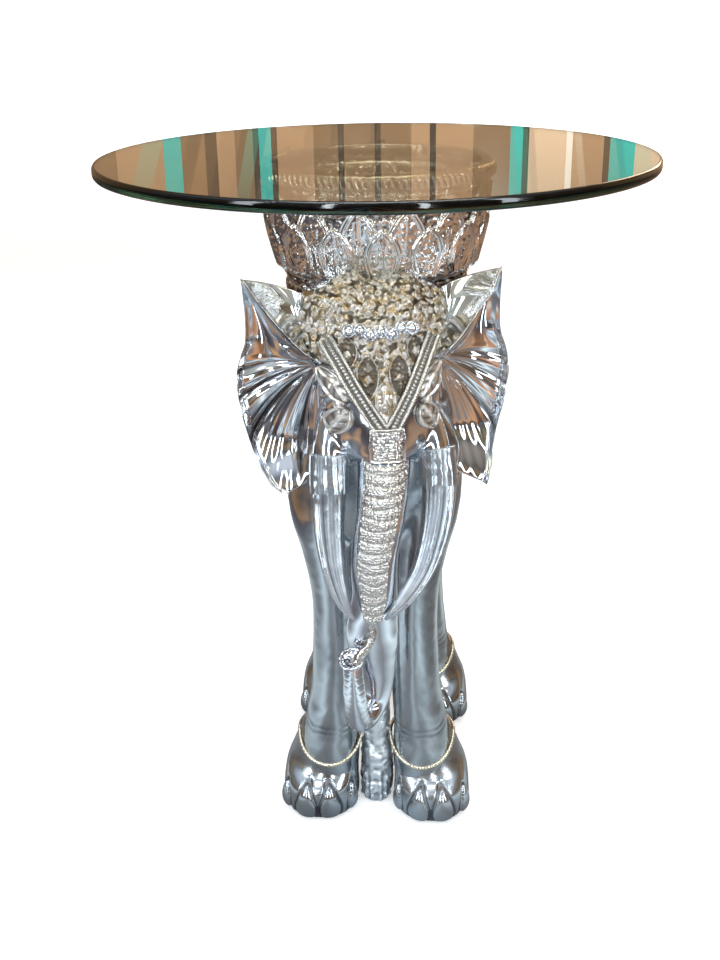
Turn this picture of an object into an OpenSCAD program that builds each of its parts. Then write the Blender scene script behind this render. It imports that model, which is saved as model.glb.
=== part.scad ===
// Round glass-topped side table carried by a standing elephant.
// Millimetres, +Z up, the elephant faces -Y, origin on the floor under the centre of the glass.

/* [Glass top] */
// Diameter of the round glass
glass_d = 500; // [400:5:650]
// Thickness of the glass
glass_t = 10; // [8:1:15]
// Radius of the polished edge
glass_edge = 3; // [1:0.5:3.5]
// Diameter of each clear bumper under the glass
bumper_d = 8; // [5:0.5:10]
// Height of each bumper
bumper_h = 2; // [1:0.5:4]
// Number of bumpers
bumper_n = 6; // [3:1:12]

/* [Seat] */
// Outer diameter of the seat's rim
seat_d = 215; // [180:5:260]
// Height of the rim ring
rim_h = 14; // [8:1:24]
// Width of the rim ring's flat top
rim_w = 13; // [11:1:20]
// Height of the embossed bowl
bowl_h = 76; // [50:2:110]
// Diameter of the bowl at its foot
bowl_foot_d = 166; // [130:2:176]
// Wall of the bowl
bowl_wall = 9; // [5:0.5:14]
// Height of the collar under the bowl
collar_h = 18; // [8:1:30]
// Radius of the peg that locates the seat in the back
seat_peg_r = 24; // [12:1:35]

/* [Body] */
// Width of the barrel
body_w = 166; // [130:2:200]
// Length of the barrel behind the neck joint
body_l = 226; // [180:2:280]
// Height of the back above the leg joints
body_h = 192; // [150:2:240]
// Distance of the neck joint in front of the glass axis
neck_y = 88; // [85:1:110]
// Width of the chest
chest_w = 154; // [120:2:190]
// How far the chest stands in front of the neck joint
chest_out = 32; // [20:1:45]
// Thickness of the saddle cloth
cloth_t = 4; // [3:0.5:8]

/* [Legs and feet] */
// Height of the legs between the feet and the barrel
leg_l = 258; // [200:2:320]
// Leg radius at its slimmest
leg_r = 23; // [18:0.5:28]
// Space between the post and each front leg
leg_gap = 3; // [2.5:0.5:12]
// Distance of the front leg axis from the glass axis
front_leg_y = 84; // [76:1:100]
// Distance of the rear leg axis from the glass axis
rear_leg_y = 82; // [70:1:96]
// Height of a foot
foot_h = 60; // [40:1:80]
// Width of a foot
foot_w = 76; // [60:1:90]
// Length of a foot
foot_l = 90; // [70:1:110]
// Radius of the round ankle inside each anklet
ankle_r = 25; // [20:0.5:28]
// Height of an anklet
anklet_h = 14; // [8:1:20]
// How far an anklet stands out from the ankle
anklet_t = 6; // [3:0.5:9]
// Thickness of the felt pads
pad_t = 2; // [1:0.5:5]
// Diameter of the felt pads
pad_d = 44; // [25:1:60]

/* [Head] */
// Greatest width of the head
head_w = 150; // [120:2:180]
// Height of the head above its lower joint
head_h = 141; // [110:1:170]
// Turn of the head towards the elephant's left, in degrees
head_turn = 12; // [0:1:14]
// Height of the head's lower joint above the leg joints
head_z = 80; // [60:1:100]
// Reach of an ear from the centre plane
ear_reach = 117; // [100:1:140]
// Thickness of an ear
ear_t = 8; // [5:0.5:12]
// Thickness of the face plate and of the straps
trim_t = 3; // [2:0.5:5]
// Width of a harness strap
strap_w = 14; // [8:1:20]
// Radius of an eye
eye_r = 9; // [6:0.5:12]
// Radius of a forehead stone
stone_r = 3.4; // [2:0.1:4.5]
// Number of stones in the forehead row
stone_n = 7; // [3:2:7]
// Radius of the tusks where they leave their sleeves
tusk_r = 12.5; // [8:0.5:14]

/* [Trunk] */
// Radius of the trunk at its root
trunk_root_r = 22; // [16:0.5:24]
// Radius of the trunk at its tip
trunk_tip_r = 9.5; // [7:0.5:11]
// Radius of the flared nostril ring
nostril_r = 12; // [11:0.5:16]

/* [Post and tail] */
// Width of the carved post between the front legs
post_w = 24; // [16:1:26]
// Length of the post from front to back
post_l = 48; // [30:1:60]
// Height of the post's wider lower tier
post_step = 62; // [30:1:100]
// Radius of the tail at its root
tail_r = 7; // [4:0.5:10]

/* [Fits] */
// Clearance between a peg and its socket
peg_gap = 0.2; // [0.1:0.05:0.5]
// Depth of every peg
peg_depth = 20; // [10:1:30]
// How deep pressed-on trim is bedded in the piece behind it
bed = 2; // [1:0.5:4]

/* [Hidden] */
ring_n = 24;
sleeve_drop = 27;
post_floor_gap = 1;
foot_top = pad_t + foot_h;
belly_z = foot_top + leg_l;
back_z = belly_z + body_h;
bowl_z = back_z + collar_h;
rim_z = bowl_z + bowl_h;
seat_top = rim_z + rim_h;
glass_z = seat_top + bumper_h;
jaw_z = belly_z + head_z;
chin_h = 30;
leg_x = post_w / 2 + leg_gap + leg_r;
foot_x = leg_x + (foot_w / 2 - leg_r) + 2;
ankle_x = (leg_x + foot_x) / 2;
tail_y = body_l - neck_y;
socket_floor = 12;
stone_pitch = 2.4;

silver = [0.78, 0.80, 0.83];
bright = [0.88, 0.89, 0.92];
warm = [0.80, 0.72, 0.56];

// ---- Lofted shells: rings of points joined from the first to the last ----

function raise(v, p) = sign(v) * pow(abs(v), p);

// A ring about c: a along u, b along v, squareness p. It travels along cross(u, v).
function ring(c, u, v, a, b, p = 2) = [
    for (i = [0 : ring_n - 1])
        let (t = 360 * i / ring_n)
        c + a * raise(cos(t), 2 / p) * u + b * raise(sin(t), 2 / p) * v
];

// A level ring that travels upwards.
function level_ring(x, y, z, a, b, p = 2) = ring([x, y, z], [1, 0, 0], [0, 1, 0], a, b, p);

module loft(rings) {
    n = len(rings[0]);
    last = len(rings) - 1;
    sides = [
        for (i = [0 : last - 1], j = [0 : n - 1], half = [0, 1])
            let (k = (j + 1) % n, lo = i * n, hi = (i + 1) * n)
            half == 0 ? [lo + j, hi + j, hi + k] : [lo + j, hi + k, lo + k]
    ];
    first_cap = [for (j = [1 : n - 2]) [0, j, j + 1]];
    last_cap = [for (j = [1 : n - 2]) [last * n, last * n + j + 1, last * n + j]];
    polyhedron(points = [for (r = rings) each r], faces = concat(first_cap, sides, last_cap));
}

function unit(v) = v / norm(v);

// Straight blend between the values of a table whose first column rises.
function between(table, at) =
    let (n = len(table))
    at <= table[0][0] ? table[0]
    : at >= table[n - 1][0] ? table[n - 1]
    : let (
        i = [for (k = [0 : n - 2]) if (at >= table[k][0] && at < table[k + 1][0]) k][0],
        f = (at - table[i][0]) / (table[i + 1][0] - table[i][0]),
        s = f * f * (3 - 2 * f)
    ) table[i] * (1 - s) + table[i + 1] * s;

// Smooth curve through points with a radius as the fourth number.
function spline(p, i, f) =
    let (
        n = len(p) - 1,
        a = p[max(i - 1, 0)], b = p[i], c = p[i + 1], d = p[min(i + 2, n)]
    )
    0.5 * (2 * b + (c - a) * f + (2 * a - 5 * b + 4 * c - d) * f * f
        + (3 * b - a - 3 * c + d) * f * f * f);

function smooth_path(p, steps) = concat(
    [for (i = [0 : len(p) - 2], s = [0 : steps - 1]) spline(p, i, s / steps)],
    [p[len(p) - 1]]
);

function place(q) = [q[0], q[1], q[2]];

function heading(p, i) = unit(place(p[min(i + 1, len(p) - 1)]) - place(p[max(i - 1, 0)]));

// A tube along a path of [x, y, z, radius]; flat squashes it front to back, level_start cuts it flat.
module tube(path, steps = 3, flat = 1, level_start = false, p = 2) {
    q = smooth_path(path, steps);
    loft([
        for (i = [0 : len(q) - 1])
            let (
                ease = level_start ? min(1, i / 5) : 1,
                t = unit(heading(q, i) * ease + [0, 0, -1] * (1 - ease)),
                u = unit(cross(cross(t, [1, 0, 0]), t)),
                v = cross(t, u)
            )
            ring(place(q[i]), u, v, q[i][3], q[i][3] * flat, p)
    ]);
}

module on_side(side) {
    mirror([side < 0 ? 1 : 0, 0, 0]) children();
}

// Everything on the head turns about the middle of the neck joint.
module turned() {
    translate([0, -neck_y, 0]) rotate(head_turn) translate([0, neck_y, 0]) children();
}

// The same turn for one point, of which share says how much it follows.
function turn_point(q, share) =
    let (a = head_turn * share, x = q[0], y = q[1] + neck_y)
    [x * cos(a) - y * sin(a), x * sin(a) + y * cos(a) - neck_y, q[2], q[3]];

// ---- Glass and seat ----

module glass_top() {
    color("lightcyan", 0.5)
    translate([0, 0, glass_z])
    rotate_extrude($fn = 180)
    difference() {
        square([glass_d / 2, glass_t]);
        for (z = [0, glass_t])
            translate([glass_d / 2 - glass_edge, z])
            difference() {
                translate([0, z == 0 ? 0 : -glass_edge]) square(glass_edge);
                translate([0, z == 0 ? glass_edge : -glass_edge]) circle(glass_edge, $fn = 48);
            }
    }
}

module glass_bumpers() {
    color("white")
    for (i = [0 : bumper_n - 1])
        rotate(360 * (i + 0.5) / bumper_n)
        translate([seat_d / 2 - rim_w / 2, 0, seat_top])
        cylinder(d = bumper_d, h = bumper_h, $fn = 32);
}

module seat_rim() {
    outer = seat_d / 2;
    color(bright)
    translate([0, 0, rim_z])
    rotate_extrude($fn = 144)
    polygon([
        [outer - rim_w, 0], [outer - rim_w / 4, 0], [outer, rim_h * 0.35],
        [outer, rim_h * 0.75], [outer - rim_w * 0.08, rim_h], [outer - rim_w, rim_h]
    ]);
}

module seat_bowl() {
    top = seat_d / 2 - 4;
    foot = bowl_foot_d / 2;
    color(silver)
    translate([0, 0, bowl_z])
    rotate_extrude($fn = 144)
    polygon([
        [0, 0], [foot, 0], [foot + 8, bowl_h * 0.25], [top - 4, bowl_h * 0.6], [top, bowl_h],
        [top - bowl_wall, bowl_h], [top - 4 - bowl_wall, bowl_h * 0.6],
        [foot - bowl_wall, bowl_h * 0.3], [foot * 0.8, bowl_h * 0.22], [0, bowl_h * 0.2]
    ]);
}

module seat_collar() {
    color(silver) {
        translate([0, 0, back_z])
        rotate_extrude($fn = 144)
        polygon([
            [0, 0], [bowl_foot_d / 2 - 3, 0], [bowl_foot_d / 2, collar_h * 0.4],
            [bowl_foot_d / 2 - 4, collar_h], [0, collar_h]
        ]);
        translate([0, 0, back_z - peg_depth]) cylinder(r = seat_peg_r, h = peg_depth + 1, $fn = 64);
    }
}

// ---- Barrel: stations of [distance behind the neck joint, half width, underside, back] ----

function barrel_station(f) = between([
    [0, 0.88, -0.2, 1.05], [0.14, 0.97, -0.24, 1.08], [0.28, 1, -0.26, 1.09],
    [0.62, 1, -0.26, 1.07], [0.8, 0.98, -0.26, 1.01], [0.91, 0.92, -0.24, 0.93],
    [0.97, 0.74, -0.14, 0.79], [1, 0.42, 0.12, 0.62]
], f);

module barrel(grow = 0) {
    stations = [0, 0.07, 0.14, 0.28, 0.45, 0.62, 0.72, 0.8, 0.86, 0.91, 0.95, 0.98, 1];
    loft([
        for (f = stations)
            let (
                s = barrel_station(f),
                low = belly_z + s[2] * body_h - grow,
                high = belly_z + s[3] * body_h + grow
            )
            ring([0, -neck_y + f * body_l, (low + high) / 2], [0, 0, 1], [1, 0, 0],
                (high - low) / 2, body_w / 2 * s[1] + grow, 2.7)
    ]);
}

module body_shell() {
    socket_x = leg_x + 8;
    color(silver)
    difference() {
        barrel();
        translate([0, 0, belly_z - 50]) cube([2 * body_w, 3 * body_l, 100], center = true);
        translate([0, 0, back_z]) cylinder(r = bowl_foot_d / 2 + 8, h = 60, $fn = 96);
        translate([0, 0, back_z - peg_depth])
        cylinder(r = seat_peg_r + peg_gap, h = peg_depth + 1, $fn = 64);
        for (x = [-socket_x, socket_x], y = [-front_leg_y + 20, rear_leg_y])
            translate([x, y, belly_z - 1])
            cylinder(r = leg_peg_r() + peg_gap, h = peg_depth + 1, $fn = 48);
        translate([0, -neck_y - 1, neck_peg_z()])
        rotate([-90, 0, 0])
        cylinder(r = neck_peg_r() + peg_gap, h = peg_depth + 1, $fn = 48);
    }
}

function leg_peg_r() = leg_r * 0.4;
function neck_peg_r() = head_w * 0.11;
function neck_peg_z() = jaw_z + head_h * 0.4;

module chest_shell() {
    top = jaw_z - chin_h;
    color(silver)
    difference() {
        loft([
            level_ring(0, -neck_y, belly_z, chest_w / 2, chest_out, 2.3),
            level_ring(0, -neck_y, (belly_z + top) / 2, chest_w / 2 - 3, chest_out - 1, 2.3),
            level_ring(0, -neck_y, top - 8, chest_w / 2 - 12, chest_out - 5, 2.3),
            level_ring(0, -neck_y, top, chest_w / 2 - 22, chest_out - 12, 2.3)
        ]);
        translate([-chest_w, -neck_y, belly_z - 1]) cube([2 * chest_w, 2 * chest_out, head_z + 2]);
    }
}

module saddle_cloth(side) {
    front = -neck_y * 0.55;
    length = neck_y * 0.55 + rear_leg_y * 0.8;
    bottom = belly_z + body_h * 0.38;
    color(warm)
    on_side(side)
    difference() {
        intersection() {
            barrel(cloth_t);
            translate([20, front, bottom]) cube([body_w, length, back_z - 5 - bottom]);
        }
        barrel();
    }
}

module saddle_cloth_left() { saddle_cloth(-1); }
module saddle_cloth_right() { saddle_cloth(1); }

// ---- Head: stations of [height, half width, half depth, centre in front of the neck joint] ----

function head_station(f) = between([
    [0, 0.69, 48, 32], [0.22, 0.80, 46, 28], [0.5, 0.94, 42, 20],
    [0.74, 1, 36, 11], [0.92, 0.86, 26, 6], [1, 0.6, 15, 3]
], f);

module skull(grow = 0) {
    loft([
        for (f = [0, 0.11, 0.22, 0.36, 0.5, 0.62, 0.74, 0.83, 0.92, 0.97, 1])
            let (s = head_station(f))
            level_ring(0, -neck_y - s[3], jaw_z + f * head_h + (f == 1 ? grow : 0),
                head_w / 2 * s[1] + grow, s[2] + grow, 2.2)
    ]);
}

// A point on the face at height share f and sideways place x, sunk by depth.
function face_point(x, f, depth = 0) =
    let (s = head_station(f), a = head_w / 2 * s[1])
    [x, -neck_y - s[3] - (s[2] - depth) * pow(1 - pow(abs(x) / a, 2.2), 1 / 2.2), jaw_z + f * head_h];

module behind_neck() {
    translate([-head_w, -neck_y, jaw_z - 1]) cube([2 * head_w, neck_y, head_h + 20]);
}

module head_shell() {
    color(silver) {
        difference() {
            turned() skull();
            behind_neck();
        }
        translate([0, -neck_y - 2, neck_peg_z()])
        rotate([-90, 0, 0])
        cylinder(r = neck_peg_r(), h = peg_depth + 2 - 1, $fn = 48);
    }
}

module lower_jaw() {
    y = -neck_y - chest_out / 2 - 4;
    color(silver)
    turned()
    loft([
        level_ring(0, y, jaw_z - chin_h + 1, 8, 5),
        level_ring(0, y, jaw_z - chin_h * 0.7, 18, 10),
        level_ring(0, y, jaw_z - chin_h * 0.3, 25, 13),
        level_ring(0, y, jaw_z, 28, 14)
    ]);
}

module forehead_plate() {
    half = head_w * 0.2;
    color(warm)
    turned()
    difference() {
        intersection() {
            skull(trim_t);
            translate([-half, -neck_y - head_w, jaw_z + head_h * 0.3])
            cube([2 * half, head_w - 12, head_h * 0.64]);
        }
        skull();
    }
}

module forehead_stones() {
    color(bright)
    for (i = [0 : stone_n - 1])
        let (
            side = 2 * i / (stone_n - 1) - 1,
            x = (i - (stone_n - 1) / 2) * stone_pitch * stone_r,
            f = 0.62 + 0.14 * side * side,
            c = face_point(x, f) - [0, trim_t, 0]
        )
        translate(place(turn_point(concat(c, 0), 1)))
        sphere(r = stone_r, $fn = 32);
}

module harness_strap(side) {
    steps = 7;
    color(warm)
    turned()
    on_side(side)
    loft([
        for (i = [0 : steps])
            let (
                f = i / steps,
                h = 0.79 - 0.6 * f,
                c = face_point(head_w * (0.31 - 0.28 * f), h, bed)
            )
            ring(c, [0.85, 0.25, 0.45], [0, -1, 0.1], strap_w / 2, trim_t + bed, 3)
    ]);
}

module harness_strap_left() { harness_strap(-1); }
module harness_strap_right() { harness_strap(1); }

module harness_medallion() {
    size = 28;
    c = face_point(0, 0.12, 0);
    color(bright)
    turned()
    translate(c)
    rotate([-6, 0, 0])
    translate([-size / 2, -trim_t - bed, -size * 0.55])
    cube([size, trim_t + 2 * bed, size * 1.1]);
}

module eye(side) {
    c = face_point(head_w * 0.28, 0.25, bed + 4);
    color("gray")
    translate(place(turn_point([side * c[0], c[1], c[2], 0], 1)))
    sphere(r = eye_r, $fn = 48);
}

module eye_left() { eye(-1); }
module eye_right() { eye(1); }

// ---- Ears: a grid from the root on the head to the outer edge, v runs from the top tip down ----

function ear_outer(v) = between([
    [0, 0.95, 4, 1.04], [0.2, 0.985, 4, 0.84], [0.42, 1, 5, 0.5], [0.6, 0.99, 7, 0.2],
    [0.76, 0.92, 13, -0.07], [0.88, 0.82, 19, -0.3], [1, 0.6, 22, -0.15]
], v);

function ear_point(u, v) =
    let (
        o = ear_outer(v),
        outer = [ear_reach * o[1], -neck_y - o[2], jaw_z + head_h * o[3]],
        root = [head_w * (0.42 - 0.1 * v), -neck_y - 16 - 7 * v, jaw_z + head_h * (0.82 - 0.78 * v)],
        belly = 8 * sin(180 * u) * (0.4 + v)
    )
    root * (1 - u) + outer * u + [0, -belly, 0];

module ear(side) {
    us = 6;
    vs = 14;
    // Each ring runs out along the front and back along the rear of the ear at one v.
    function strip(v) = concat(
        [for (i = [0 : us]) ear_point(i / us, v) - [0, ear_t / 2, 0]],
        [for (i = [us : -1 : 0]) ear_point(i / us, v) + [0, ear_t / 2, 0]]
    );
    color(silver)
    turned()
    on_side(side)
    loft([for (j = [vs : -1 : 0]) strip(j / vs)]);
}

module ear_left() { ear(-1); }
module ear_right() { ear(1); }

// ---- Tusks and trunk ----

sleeve_x = head_w * 0.3;

module tusk_sleeve(side) {
    y = -neck_y - 54;
    color(silver)
    turned()
    on_side(side)
    loft([
        level_ring(sleeve_x + 2, y - 9, jaw_z - sleeve_drop, tusk_r + 2.5, tusk_r + 2.5),
        level_ring(sleeve_x + 2, y - 8, jaw_z - sleeve_drop + 5, tusk_r + 3, tusk_r + 3),
        level_ring(sleeve_x, y - 4, jaw_z - sleeve_drop / 2, tusk_r + 1.5, tusk_r + 2),
        level_ring(sleeve_x - 3, y, jaw_z, tusk_r + 2, tusk_r + 4)
    ]);
}

module tusk_sleeve_left() { tusk_sleeve(-1); }
module tusk_sleeve_right() { tusk_sleeve(1); }

// A tusk's tip follows the head's turn less than its root does, so that both tips flank the trunk.
module tusk(side) {
    y = -neck_y - 63;
    top = jaw_z - sleeve_drop;
    path = [
        [sleeve_x + 2, y, top, tusk_r], [sleeve_x + 1, y - 14, top - 28, tusk_r * 0.92],
        [sleeve_x - 5, y - 28, top - 55, tusk_r * 0.76], [sleeve_x - 15, y - 38, top - 78, tusk_r * 0.56],
        [sleeve_x - 26, y - 43, top - 92, tusk_r * 0.3], [sleeve_x - 32, y - 45, top - 97, tusk_r * 0.08]
    ];
    share = [1, 0.85, 0.6, 0.35, 0.15, 0.1];
    color(bright)
    tube([
        for (i = [0 : len(path) - 1])
            turn_point([side * path[i][0], path[i][1], path[i][2], path[i][3]], share[i])
    ], steps = 2, level_start = true);
}

module tusk_left() { tusk(-1); }
module tusk_right() { tusk(1); }

// The trunk hangs from the head, turns under and curls its tip up in front.
function trunk_path() =
    let (y = -neck_y, r = trunk_root_r, e = trunk_tip_r)
    [
        turn_point([0, y - 58, jaw_z, r], 1), turn_point([0, y - 75, jaw_z - 24, r * 0.95], 0.85),
        turn_point([0, y - 88, jaw_z - 55, r * 0.9], 0.5), turn_point([0, y - 94, jaw_z - 90, r * 0.85], 0.3),
        turn_point([0, y - 91, jaw_z - 125, r * 0.77], 0.3), [4, y - 82, jaw_z - 160, r * 0.8],
        [6, y - 70, jaw_z - 195, r * 0.7], [6, y - 63, jaw_z - 224, r * 0.58],
        [1, y - 65, jaw_z - 243, e + 2], [-8, y - 75, jaw_z - 250, e + 1.5],
        [-14, y - 88, jaw_z - 240, e + 1], [-17, y - 97, jaw_z - 216, e + 0.5],
        [-18, y - 101, jaw_z - 190, e], [-18, y - 102, jaw_z - 176, e]
    ];

module trunk() {
    color(silver) tube(trunk_path(), steps = 3, level_start = true);
}

module trunk_nostril_ring() {
    p = trunk_path();
    tip = p[len(p) - 1];
    color(bright)
    translate(place(tip))
    rotate([0.036 * 180 / PI * 2, 0, 0])
    rotate_extrude($fn = 48)
    polygon([[0, 0.4], [trunk_tip_r, 0.4], [nostril_r, 5], [nostril_r, 8], [nostril_r * 0.6, 8], [0, 5]]);
}

module trunk_scale_band() {
    p = trunk_path();
    q = smooth_path([for (i = [0 : 4]) p[i]], 3);
    color(warm)
    loft([
        for (i = [len(q) - 1 : -1 : 1])
            let (
                t = heading(q, i),
                out = unit(cross([1, 0, 0], t)),
                width = 17 - 8.5 * i / len(q)
            )
            ring(place(q[i]) + out * (q[i][3] - bed / 2), [1, 0, 0], -out, width, trim_t, 3)
    ]);
}

// ---- Legs: stations of [height share, half width add, half depth add, outward shift] ----

function leg_station(f, rear) = between([
    [0, 5, 6, 6], [0.08, 3, 6, 4], [0.25, 1.5, 6, 2], [0.45, 0, rear ? 8 : 6, 0],
    [0.65, 0, rear ? 12 : 8, -0.5], [0.82, 3, rear ? 16 : 12, 2],
    [0.92, 6.5, rear ? 19 : 14, 5], [1, 9, rear ? 21 : 16, 7]
], f);

module leg(side, rear) {
    y = rear ? rear_leg_y : -front_leg_y;
    bottom = foot_top + anklet_h;
    color(silver)
    on_side(side) {
        loft([
            for (f = [0, 0.08, 0.16, 0.25, 0.35, 0.45, 0.55, 0.65, 0.74, 0.82, 0.88, 0.94, 1])
                let (s = leg_station(f, rear))
                level_ring(leg_x + s[3], y, bottom + f * (belly_z - bottom), leg_r + s[1], leg_r + s[2])
        ]);
        translate([leg_x + 8, rear ? y : y + 20, belly_z - 2])
        cylinder(r = leg_peg_r(), h = peg_depth + 2 - 1, $fn = 48);
        translate([ankle_x, y, foot_top - socket_floor])
        cylinder(r = ankle_r, h = anklet_h + socket_floor + 0.5, $fn = 64);
    }
}

module anklet(side, rear) {
    y = rear ? rear_leg_y : -front_leg_y;
    inner = ankle_r + peg_gap;
    outer = ankle_r + anklet_t;
    color(warm)
    on_side(side)
    translate([ankle_x, y, foot_top])
    rotate_extrude($fn = 96)
    polygon([
        [inner, 0], [outer - 2, 0], [outer, anklet_h * 0.25],
        [outer, anklet_h * 0.75], [outer - 2, anklet_h], [inner, anklet_h]
    ]);
}

module foot(side, rear) {
    y = rear ? rear_leg_y : -front_leg_y;
    toe = rear ? 0 : 3;
    w = foot_w / 2;
    l = foot_l / 2;
    color(silver)
    on_side(side)
    difference() {
        loft([
            level_ring(foot_x, y - toe, pad_t, w - 3, l - 3, 2.3),
            level_ring(foot_x, y - toe, pad_t + foot_h * 0.15, w, l, 2.3),
            level_ring(foot_x, y - toe, pad_t + foot_h * 0.4, w - 0.5, l - 0.5, 2.2),
            level_ring(foot_x - 1, y - toe * 0.7, pad_t + foot_h * 0.65, w - 3, l - 4, 2.2),
            level_ring((foot_x + ankle_x) / 2, y, pad_t + foot_h * 0.85, w - 5, l - 9, 2.1),
            level_ring(ankle_x, y, foot_top, max(w - 6, ankle_r + 5), max(l - 13, ankle_r + 5), 2)
        ]);
        translate([ankle_x, y, foot_top - socket_floor - peg_gap])
        cylinder(r = ankle_r + peg_gap, h = socket_floor + 10, $fn = 64);
    }
}

module front_leg_left() { leg(-1, false); }
module front_leg_right() { leg(1, false); }
module rear_leg_left() { leg(-1, true); }
module rear_leg_right() { leg(1, true); }
module front_anklet_left() { anklet(-1, false); }
module front_anklet_right() { anklet(1, false); }
module rear_anklet_left() { anklet(-1, true); }
module rear_anklet_right() { anklet(1, true); }
module front_foot_left() { foot(-1, false); }
module front_foot_right() { foot(1, false); }
module rear_foot_left() { foot(-1, true); }
module rear_foot_right() { foot(1, true); }

module felt_pads() {
    color("dimgray")
    for (x = [-foot_x, foot_x], y = [-front_leg_y, rear_leg_y])
        translate([x, y, 0])
        cylinder(d = pad_d, h = pad_t, $fn = 64);
}

// ---- Carved post between the front legs, and the tail ----

module carved_post() {
    y = -neck_y + 14;
    w = post_w / 2;
    l = post_l / 2;
    color(warm)
    loft([
        level_ring(0, y, post_floor_gap, w + 2, l + 2, 2.6),
        level_ring(0, y, post_floor_gap + post_step * 0.6, w + 1, l + 2, 2.6),
        level_ring(0, y, post_floor_gap + post_step, w + 1, l, 2.6),
        level_ring(0, y, post_floor_gap + post_step + 3, w, l - 5, 2.6),
        level_ring(0, y, (post_step + belly_z) / 2, w - 2, l - 6, 2.6),
        level_ring(0, y, belly_z, w - 2, l - 5, 2.6)
    ]);
}

function tail_path() = [
    [0, tail_y - 8, belly_z + body_h * 0.62, tail_r], [0, tail_y + 6, belly_z + body_h * 0.6, tail_r * 0.9],
    [0, tail_y + 15, belly_z + body_h * 0.5, tail_r * 0.8], [0, tail_y + 15, belly_z + body_h * 0.3, tail_r * 0.6],
    [0, tail_y + 12, belly_z + body_h * 0.1, tail_r * 0.5]
];

module tail() {
    color(silver) tube(tail_path(), steps = 3);
}

module tail_tuft() {
    p = tail_path();
    end = p[len(p) - 1];
    color(silver)
    loft([
        for (s = [[-46, 0.2, 2], [-40, 0.8, 1.5], [-26, 1.5, 1], [-12, 1.2, 0], [-1.2, 0.7, 0]])
            level_ring(0, end[1] + s[2], end[2] + s[0], tail_r * s[1], tail_r * s[1] * 0.8)
    ]);
}

glass_top();
glass_bumpers();
seat_rim();
seat_bowl();
seat_collar();
body_shell();
chest_shell();
saddle_cloth_left();
saddle_cloth_right();
head_shell();
lower_jaw();
forehead_plate();
forehead_stones();
harness_strap_left();
harness_strap_right();
harness_medallion();
eye_left();
eye_right();
ear_left();
ear_right();
tusk_sleeve_left();
tusk_sleeve_right();
tusk_left();
tusk_right();
trunk();
trunk_scale_band();
trunk_nostril_ring();
front_leg_left();
front_leg_right();
rear_leg_left();
rear_leg_right();
front_anklet_left();
front_anklet_right();
rear_anklet_left();
rear_anklet_right();
front_foot_left();
front_foot_right();
rear_foot_left();
rear_foot_right();
felt_pads();
carved_post();
tail();
tail_tuft();
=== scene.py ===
import math
import bpy
import bmesh
import numpy as np
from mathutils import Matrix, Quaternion, Vector
from mathutils.bvhtree import BVHTree


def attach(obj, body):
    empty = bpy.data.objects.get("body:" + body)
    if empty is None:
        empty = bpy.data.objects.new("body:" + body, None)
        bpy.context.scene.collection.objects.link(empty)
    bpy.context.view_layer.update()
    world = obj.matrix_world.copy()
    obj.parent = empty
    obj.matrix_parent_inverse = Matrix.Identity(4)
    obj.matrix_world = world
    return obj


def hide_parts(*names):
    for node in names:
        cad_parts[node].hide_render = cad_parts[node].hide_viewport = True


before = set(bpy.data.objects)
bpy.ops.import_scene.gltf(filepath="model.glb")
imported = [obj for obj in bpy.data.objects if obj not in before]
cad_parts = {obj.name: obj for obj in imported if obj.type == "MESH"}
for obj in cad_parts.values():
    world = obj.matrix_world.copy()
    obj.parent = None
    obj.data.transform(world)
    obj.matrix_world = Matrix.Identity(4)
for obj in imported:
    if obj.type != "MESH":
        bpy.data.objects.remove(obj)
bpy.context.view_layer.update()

# ---------------------------------------------------------------------------
# Felt pads and feet
# Each foot is a cast-resin paw with four raised oval nails and a silver plating.
# A felt disc is glued under it, and the ankle of the leg drops into a socket in its top.

MM = 0.001
X_AXIS, Y_AXIS, Z_AXIS = np.eye(3)
HANDS = {-1: "left", 1: "right"}
# how far before or behind the middle each pair of legs stands
LEG_AXIS = {"front": -84, "rear": 82}


def curve(table, count):
    """Smooth rows through the given rows of a table."""
    rows = np.asarray(table, float)
    padded = np.vstack([2 * rows[0] - rows[1], rows, 2 * rows[-1] - rows[-2]])
    at = np.linspace(0, len(rows) - 1, count)
    i = np.minimum(at.astype(int), len(rows) - 2)
    f = (at - i)[:, None]
    a, b, c, d = padded[i], padded[i + 1], padded[i + 2], padded[i + 3]
    return 0.5 * (2 * b + (c - a) * f + (2 * a - 5 * b + 4 * c - d) * f**2 + (3 * b - a - 3 * c + d) * f**3)


def step(low, high, x):
    """A soft step from 0 at one value to 1 at another."""
    t = np.clip((x - low) / (high - low), 0, 1)
    return t * t * (3 - 2 * t)


def bell(x, centre, width):
    """A smooth ridge, 1 high at its centre."""
    return np.exp(-(((x - centre) / width) ** 2))


def dome(square):
    """The height of a half ball over the square of the distance from its middle."""
    return np.sqrt(np.clip(1 - square, 0, 1))


def full_turn(count):
    return np.linspace(0, 2 * np.pi, count, endpoint=False)


def swollen(x, power):
    """A sine or cosine made fuller or leaner, its sign kept."""
    return np.sign(x) * np.abs(x) ** power


def hoop(centre, u, v, a, b, square=2.0, count=96):
    """A ring of points about a centre, wider or squarer as asked."""
    t = full_turn(count)[:, None]
    c, s = swollen(np.cos(t), 2 / square), swollen(np.sin(t), 2 / square)
    return np.asarray(centre, float) + a * c * u + b * s * v


def outward(grid):
    """Unit normals of a grid of ring-shaped rows, pointing away from the middle of each row."""
    along = np.gradient(grid, axis=0)
    around = (np.roll(grid, -1, 1) - np.roll(grid, 1, 1)) / 2
    n = np.cross(around, along)
    n /= np.maximum(np.linalg.norm(n, axis=2, keepdims=True), 1e-9)
    away = grid - grid.mean(axis=1, keepdims=True)
    return n if (n * away).sum() > 0 else -n


def raised(grid, height):
    return grid + outward(grid) * height[..., None]


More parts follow.
